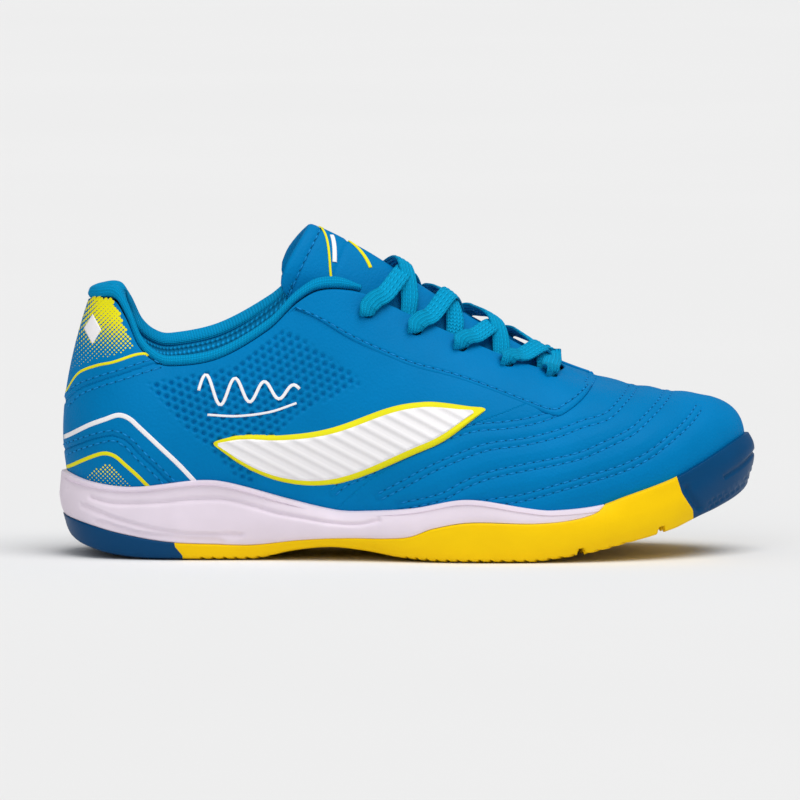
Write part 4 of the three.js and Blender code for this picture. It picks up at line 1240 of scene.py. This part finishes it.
def lace_stations(tongue, side, lifted):
    """One half of the lace from the bar to its end: place, up direction and width of each station."""
    stations = []
    face = 1
    width = sizes().lace_width * 1000

    def put(at, up, wide):
        stations.append((np.array(at), unit(np.array(up) * face), wide))

    def one(t, h, out=0.0):
        return upper(np.array(t), np.array(h), out)

    def eyelet_x(at_side, row):
        return float(one(EYELETS[at_side][row], EYELET_HEIGHT)[0] / GRADE[0])

    def lay(place, x, up, wide=width):
        put(place(settled(place, x)), up, wide)

    came_from = None
    for row in range(5):
        t = EYELETS[side][row]
        here = eyelet_x(side, row)
        step = 0.0 if came_from is None else came_from - here
        normal = skin_normal(np.array(t), np.array(EYELET_HEIGHT))
        away = unit(one(t, EYELET_HEIGHT - 0.03) - one(t, EYELET_HEIGHT))
        for share, h, out in ((0.36, 1.0, 0.6), (0.18, 0.955, 0.7), (0.05, 0.915, 0.5)):
            if row == 0 and h == 1.0:
                continue
            lay(lambda x: one(throat_place(x, h, side), h, LACE_OVER + out), here + share * step, normal)
        rim = EYELET_HEIGHT - 0.018
        lay(lambda x: one(throat_place(x, rim, side), rim, LACE_OVER - 0.3), here, away, width * 0.85)
        put(one(t, EYELET_HEIGHT, -0.5), away, width * 0.6)
        put(one(t, EYELET_HEIGHT + 0.01, -LACE_UNDER), away - normal, width * 0.5)
        face = -face
        if row == 4:
            break
        came_from = here - 1.0
        put(one(throat_place(came_from, 0.985, side), 0.985, -LACE_UNDER + 0.2), normal, width * 0.75)
        run = came_from - eyelet_x(-side, row + 1)
        for share, v, gap in ((0.05, 0.38, 1.8), (0.17, 0.5, 2.0)):
            lift = 1.5 if lifted and v == 0.5 else 0.0
            across = v if side < 0 else 1 - v
            aim = settled(lambda x: tongue.at(x, across, gap + lift), came_from - share * run)
            at = tongue.at(aim, across, gap + lift)
            put(at, at - tongue.at(aim, across), width)
        side = -side
    return stations


def build_lace(tongue):
    """One flat braid from the bar over the vamp to both ends behind the top eyelets."""
    half, other = lace_stations(tongue, -1, False), lace_stations(tongue, 1, True)
    over_ridge = np.array([BAR_PLACE, *ridge(BAR_PLACE)]) * GRADE + np.array([0, 0, BAR_HEIGHT * MM])
    bar = (over_ridge, unit(np.array([0.4, 0, 1.0])), sizes().lace_width * 1000)
    route = [(p, -u, w) for p, u, w in other[::-1]] + [bar] + half
    centres, place = centripetal([s[0] for s in route], 12)
    ups, widths = np.array([s[1] for s in route]), np.array([s[2] for s in route])
    order = np.arange(len(route))
    tangents = unit(np.gradient(centres, axis=0))
    up = np.stack([np.interp(place, order, ups[:, k]) for k in range(3)], -1)
    up = unit(up - tangents * (up * tangents).sum(1, keepdims=True))
    width = np.interp(place, order, widths)
    thick = sizes().lace_thickness * 1000 * np.where(width < 4.4, 1.25, 1.0)
    wides = np.cross(tangents, up) * (-width / 2 * MM)[:, None]
    bm = tube(centres, wides, up * (thick / 2 * MM)[:, None], 36, 0.16, 0.0154)
    piece = keep("lace_braid", bm, "lace")
    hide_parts("lace")


# ------------------------------------------------------------------ collar
def padding_at(t, h):
    """Thickness of the collar's padding in millimetres."""
    t = np.where(np.asarray(t) > TOE, np.asarray(t) - ROUND, t)
    waist = 1 - smooth(np.abs(t), 2.7, 3.5)
    return COLLAR_PADDING * (0.16 + 0.84 * smooth(h, 0.42, 0.7) * (0.1 + 0.9 * waist))


BEHIND = -(SKIN + LOOSE_GAP) - STIFFENER - LOOSE_GAP - 0.2  # where the collar's padding starts
COLLAR_END = 4.1


def collar_section(t):
    """Centre and the two half axes of the rolled edge at each place."""
    edge, lower = upper(t, np.ones_like(t)), upper(t, np.full_like(t, 0.96))
    rise, out = unit(edge - lower), skin_normal(t, np.ones_like(t))
    roll = BINDING_RADIUS + BINDING_HEEL_GROWTH * (1 - smooth(np.abs(t), 0.9, 1.9))
    roll = roll * (1 - 0.5 * smooth(np.abs(t), 3.75, COLLAR_END))
    depth = (roll + 1.2 + 0.6 * padding_at(t, 1.0)) * 0.6
    centre = edge + rise * ((roll * 0.82 + 0.3) * MM)[:, None] + out * ((0.9 - depth) * MM)[:, None]
    return centre, out * (-depth * MM)[:, None], rise * (roll * MM)[:, None]


def build_collar():
    t = np.linspace(-COLLAR_END, COLLAR_END, 480)
    centre, wide, thick = collar_section(t)
    bm = tube(centre, wide, thick, 40, 0.0, 0.02)
    piece = keep("collar_edge", bm, "binding")
    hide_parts("collar_binding")
    steps, rows = ((300, 84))

    def place(u, v):
        tt, hh = lerp(COLLAR_END, -COLLAR_END, u), lerp(0.06, 1.05, v)
        puff = 1.3 * smooth(hh, 0.7, 0.84) * (1 - smooth(hh, 0.98, 1.04))
        puff = puff * (1 - smooth(np.abs(tt), 3.2, 3.9))
        tuck = 2.2 * smooth(hh, 0.99, 1.05)
        return upper(tt, hh, BEHIND - padding_at(tt, hh) - 0.7 - puff + tuck)

    piece = keep("collar_lining_pad", sheet(steps, rows, place, (0.28, 0.07)), "lining")
    thicken(piece, 0.6)
    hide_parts("collar_lining")


# ------------------------------------------------------------------ overlays on the upper
FACING_START = 3.22
FACING_EDGE = [(-47, 89.6), (-39.5, 85.2), (-30.5, 80.5), (-19, 73.5), (-7.5, 68), (1, 64.5), (16, 60.5),
               (29, 56), (42, 51), (50, 48.6), (54, 50.5), (58.5, 54), (62.5, 58.5), (65, 62)]


TRACED = {}


def facing_bottom(t):
    """h of the facing's lower edge, which follows its seam and then turns up over the vamp."""
    if "facing" not in TRACED:
        line = drawn(FACING_EDGE, 1.0)
        TRACED["facing"] = FIND[-1](line[:, 0], line[:, 1])
    at, h = TRACED["facing"]
    order = np.argsort(at)
    return np.interp(t, at[order], h[order])[..., None]


emblem_middle = curve([(2.45, 0.42), (3.1, 0.31), (3.7, 0.31), (4.6, 0.46), (5.4, 0.58)])
emblem_half = curve([(2.45, 0.03), (2.9, 0.1), (3.6, 0.12), (4.7, 0.09), (5.4, 0.02)])


def build_facing(side):
    name = "lateral" if side < 0 else "medial"
    across, rows = ((340, 64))

    def place(u, v):
        own = lerp(FACING_START, 7.3, u) if side < 0 else lerp(ROUND - 7.3, ROUND - FACING_START, u)
        inner = own if side < 0 else ROUND - own
        h = lerp(np.minimum(facing_bottom(inner)[..., 0], 0.975), 0.988, v)
        rim = np.minimum(np.minimum(v, 1 - v) * 20, np.minimum(u, 1 - u) * 110)
        height = 0.72 * smooth(rim, -0.3, 1.0) * smooth(inner, FACING_START, FACING_START + 0.15)
        sewn = 0.25 * np.exp(-((v - 0.085) / 0.02) ** 2)
        return upper(own, h, height - sewn)

    bm = sheet(across, rows, place)
    points = np.array([v.co for v in bm.verts])
    cut_out(bm, holes_at(points, side, EYELET_RADIUS))
    piece = keep(f"facing_{name}_leather", bm, "leather")
    thicken(piece, 0.7)
    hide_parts(f"facing_{name}")


EMBLEM_LAYERS = (  # name, growth in h, foot and top of the film in millimetres, and finish
    ("backing", 0.0, 0.2, 0.62, "trim"),
    ("top", -0.019, 0.6, 1.05, "film"),
)


def build_emblem(side):
    name = "lateral" if side < 0 else "medial"
    steps, rows = ((200, 28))
    for part, grow, low, high, material in EMBLEM_LAYERS:
        def place(u, v):
            own = lerp(2.45 - grow * 1.6, 5.4 + grow * 7, u)
            tip = np.clip(np.minimum(u / 0.09, (1 - u) / 0.22), 0, 1)
            half = (emblem_half(own)[..., 0] + 0.004 + grow) * np.sqrt(1 - (1 - tip) ** 2)
            h = emblem_middle(own)[..., 0] + (v * 2 - 1) * half
            rim = np.minimum(np.minimum(v, 1 - v) * 12, np.minimum(u, 1 - u) * 60)
            t = own if side < 0 else ROUND - own
            lift = 0.45 * smooth(skin(t, h)[:, 0] / MM, -32, -2)
            return upper(t, h, lerp(low - 0.3, high, smooth(rim, 0, 1)) + lift)

        bm = weld(sheet(steps, rows, place), 1e-6)
        if side > 0:
            bmesh.ops.reverse_faces(bm, faces=bm.faces)
        on_top = part == "top"
        piece = keep(f"emblem_{part}_{name}_film", bm, material)
        thicken(piece, 0.3)
        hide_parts(f"emblem_{name}" if on_top else f"emblem_backing_{name}")


def build_liner():
    """Sock liner: a padded sheet over the foot bed, lifted a little at its edge."""
    steps, rows = ((160, 44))
    inset = -(1.2 + 1.0 + 0.6 + 0.9 + 2.6)

    def place(u, v):
        lateral = lerp(0.02, TOE - 0.02, u)
        a, b = sole_edge(lateral, inset), sole_edge(ROUND - lateral, inset)
        p = lerp(a, b, v[:, None])
        p[:, 2] = feather_line(lateral)[:, 2] + 4.9 * MM
        return p

    bm = weld(sheet(steps, rows, place, (0.22, 0.07)))
    piece = keep("sock_liner_pad", bm, "lining", LINER)
    thicken(piece, 3.2)
    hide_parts("sock_liner")


def dress_hidden():
    """Board, stiffeners, foam and inner lining keep the frame's shape."""
    for node, name in (("insole_board", "board"), ("heel_stiffener", "board"), ("toe_puff", "board"),
                       ("collar_foam", "foam"), ("forefoot_lining", "backing")):
        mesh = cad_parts[node].data
        mesh.materials.clear()
        mesh.materials.append(finish(name))


def build_trims():
    sewing = Sewing()
    for side in (-1, 1):
        where = "lateral" if side < 0 else "medial"
        printed_line(f"white_line_{where}", side, WHITE_LINE, 1.6, "white")
        printed_line(f"low_yellow_line_{where}", side, LOW_YELLOW_LINE, 1.3, "trim")
        printed_line(f"high_yellow_line_{where}", side, HIGH_YELLOW_LINE, 1.0, "trim")
        for seam in (HEEL_TAB_SEAM, HEEL_BASE_SEAM):
            for shift in (-1.7, 1.7):
                sewing.drawn_row(side, beside(drawn(seam, 1.0), shift))
        for row in QUILT_ROWS:
            for shift in (-1.15, 1.15):
                sewing.drawn_row(side, beside(drawn(row, 1.0), shift), -0.2)
        own = np.linspace(FACING_START + 0.08, 7.25, 420)
        h = facing_bottom(own)[..., 0] + (0.988 - facing_bottom(own)[..., 0]) * 0.085
        t = own if side < 0 else ROUND - own
        points = upper(t, h, 0.62)
        sewing.row(points, unit(np.gradient(points, axis=0)), skin_normal(t, h))
        draw_marks(side, where)
    sewing.finish("upper")


HEEL_PRINT = [(-117.5, 61), (-114.5, 74), (-111.5, 86), (-106, 87.5), (-101, 87), (-98.5, 83.5),
              (-96.5, 78.5), (-94.5, 74.5), (-93, 71), (-100, 68), (-106, 66.5), (-112, 63.5)]
LOW_PRINT = [(-110, 26.5), (-106, 30), (-102.5, 32), (-99, 31), (-95, 27), (-92.5, 24.5), (-100, 24)]


def draw_marks(side, where):
    """Halftone prints of the heel, a plain rhombus and a plain wave: no letters and no mark."""
    dots(f"heel_print_{where}", side, HEEL_PRINT, 1.5, lambda z: 0.15 + 0.66 * smooth(z, 63, 88), "trim")
    dots(f"low_print_{where}", side, LOW_PRINT, 1.5, lambda z: 0.34 - 0.16 * smooth(z, 30, 25), "trim")
    printed_patch(f"heel_mark_{where}", side, (-107, 76.5), (3, -5), (3, 5), "white")
    wave = [(-71 + 34 * k / 60, 57 + (5.5 - k * 0.06) * math.sin(k * 0.36)) for k in range(61)]
    printed_line(f"side_wave_{where}", side, wave, 1.1, "white")
    printed_line(f"side_stroke_{where}", side, [(-68, 49), (-58, 48.6), (-47, 50), (-38, 53)], 0.8, "white")


# ------------------------------------------------------------------ stage
def build_stage():
    scene = bpy.context.scene
    scene.view_settings.view_transform = "Standard"
    paper = Finish("paper", (0.815, 0.815, 0.815), 1.0, 0.0)
    paper.shift_colour(paper.noise(3, 2), 0.995, 1.005)
    bm = bmesh.new()
    bmesh.ops.create_grid(bm, x_segments=8, y_segments=8, size=20)
    bmesh.ops.translate(bm, verts=bm.verts, vec=(0, 0, CAD_LOW[2] - 0.0002))
    mesh = bpy.data.meshes.new("floor")
    bm.to_mesh(mesh)
    bm.free()
    floor = bpy.data.objects.new("floor", mesh)
    mesh.materials.append(paper.material)
    scene.collection.objects.link(floor)
    world = bpy.data.worlds.new("studio")
    world.use_nodes = True
    world.node_tree.nodes["Background"].inputs["Color"].default_value = (1, 1, 1, 1)
    world.node_tree.nodes["Background"].inputs["Strength"].default_value = 0.33
    scene.world = world
    sun("high_light", (0.25, -0.3, 1), 2.15, 50)
    sun("front_light", (-0.4, -1.2, 0.8), 0.5, 40)
    rise = math.radians(4.5)
    target = Vector((-3.2, -42, 55)) * MM
    data = bpy.data.cameras.new("camera")
    data.lens, data.sensor_width, data.clip_end = 536.8, 36, 80
    camera = bpy.data.objects.new("camera", data)
    camera.location = target + Vector((0, -math.cos(rise), math.sin(rise))) * 4.0
    camera.rotation_euler = (math.pi / 2 - rise, 0, 0)
    scene.collection.objects.link(camera)
    scene.camera = camera


def sun(name, where, strength, spread):
    """Even light from a wide soft source in the direction of where."""
    data = bpy.data.lights.new(name, "SUN")
    data.energy, data.angle = strength, math.radians(spread)
    light = bpy.data.objects.new(name, data)
    light.rotation_euler = Vector(where).to_track_quat("Z", "Y").to_euler()
    bpy.context.scene.collection.objects.link(light)


# ------------------------------------------------------------------ operators
def operator(name, label, doc, work):
    """An operator class that runs one part of the build."""
    def execute(self, context):
        work()
        return {"FINISHED"}

    return type(f"SHOE_OT_{name}", (bpy.types.Operator,), {
        "__doc__": doc, "bl_idname": f"shoe.{name}", "bl_label": label, "bl_options": {"REGISTER", "UNDO"},
        "execute": execute,
    })


def both(work):
    return lambda: [work(side) for side in (-1, 1)]


def build_sole():
    wall = Wall()
    midsole_part(wall)
    sole_part("tread_rubber", wall, HEEL_END, TOE_END, 430, "tread", ("outsole",))
    sole_part("heel_rubber", wall, None, HEEL_END, 140, "rubber", ("heel_pad",))
    sole_part("toe_rubber", wall, TOE_END, None, 150, "rubber", ("toe_cap",), 48)


def build_tongue_and_lace():
    tongue = Tongue()
    build_tongue(tongue)
    build_lace(tongue)


OPERATORS = [
    operator("stage", "Stage", "Paper sweep, lights and camera", build_stage),
    operator("skins", "Upper", "Quarters, vamp and heel panels", both(build_skin)),
    operator("facings", "Facings", "Eyelet facings on both sides", both(build_facing)),
    operator("emblems", "Emblems", "Ribbed side emblems with their border", both(build_emblem)),
    operator("trims", "Trims", "Printed lines and stitching", build_trims),
    operator("collar", "Collar", "Rolled edge and padded lining", build_collar),
    operator("throat", "Tongue and lace", "Padded tongue and flat lace", build_tongue_and_lace),
    operator("sole", "Sole", "Midsole, tread, heel and toe rubber", build_sole),
    operator("liner", "Sock liner", "Removable sock liner", build_liner),
    operator("hidden", "Inside", "Finishes of the hidden pieces", dress_hidden),
]


class SHOE_PT_panel(bpy.types.Panel):
    """Settings and steps of the shoe"""
    bl_label = "Court Shoe"
    bl_idname = "SHOE_PT_panel"
    bl_space_type = "VIEW_3D"
    bl_region_type = "UI"
    bl_category = "Court Shoe"

    def draw(self, context):
        for group in (context.scene.shoe_colours, context.scene.shoe_sizes):
            for key in group.__annotations__:
                self.layout.prop(group, key)
        for step in OPERATORS:
            self.layout.operator(step.bl_idname)


CLASSES = [ShoeColours, ShoeSizes, *OPERATORS, SHOE_PT_panel]


def register():
    for cls in CLASSES:
        bpy.utils.register_class(cls)
    bpy.types.Scene.shoe_colours = PointerProperty(type=ShoeColours)
    bpy.types.Scene.shoe_sizes = PointerProperty(type=ShoeSizes)


def unregister():
    del bpy.types.Scene.shoe_sizes
    del bpy.types.Scene.shoe_colours
    for cls in reversed(CLASSES):
        bpy.utils.unregister_class(cls)


def main():
    register()
    for step in OPERATORS:
        group, name = step.bl_idname.split(".")
        getattr(getattr(bpy.ops, group), name)()


if __name__ == "__main__":
    main()
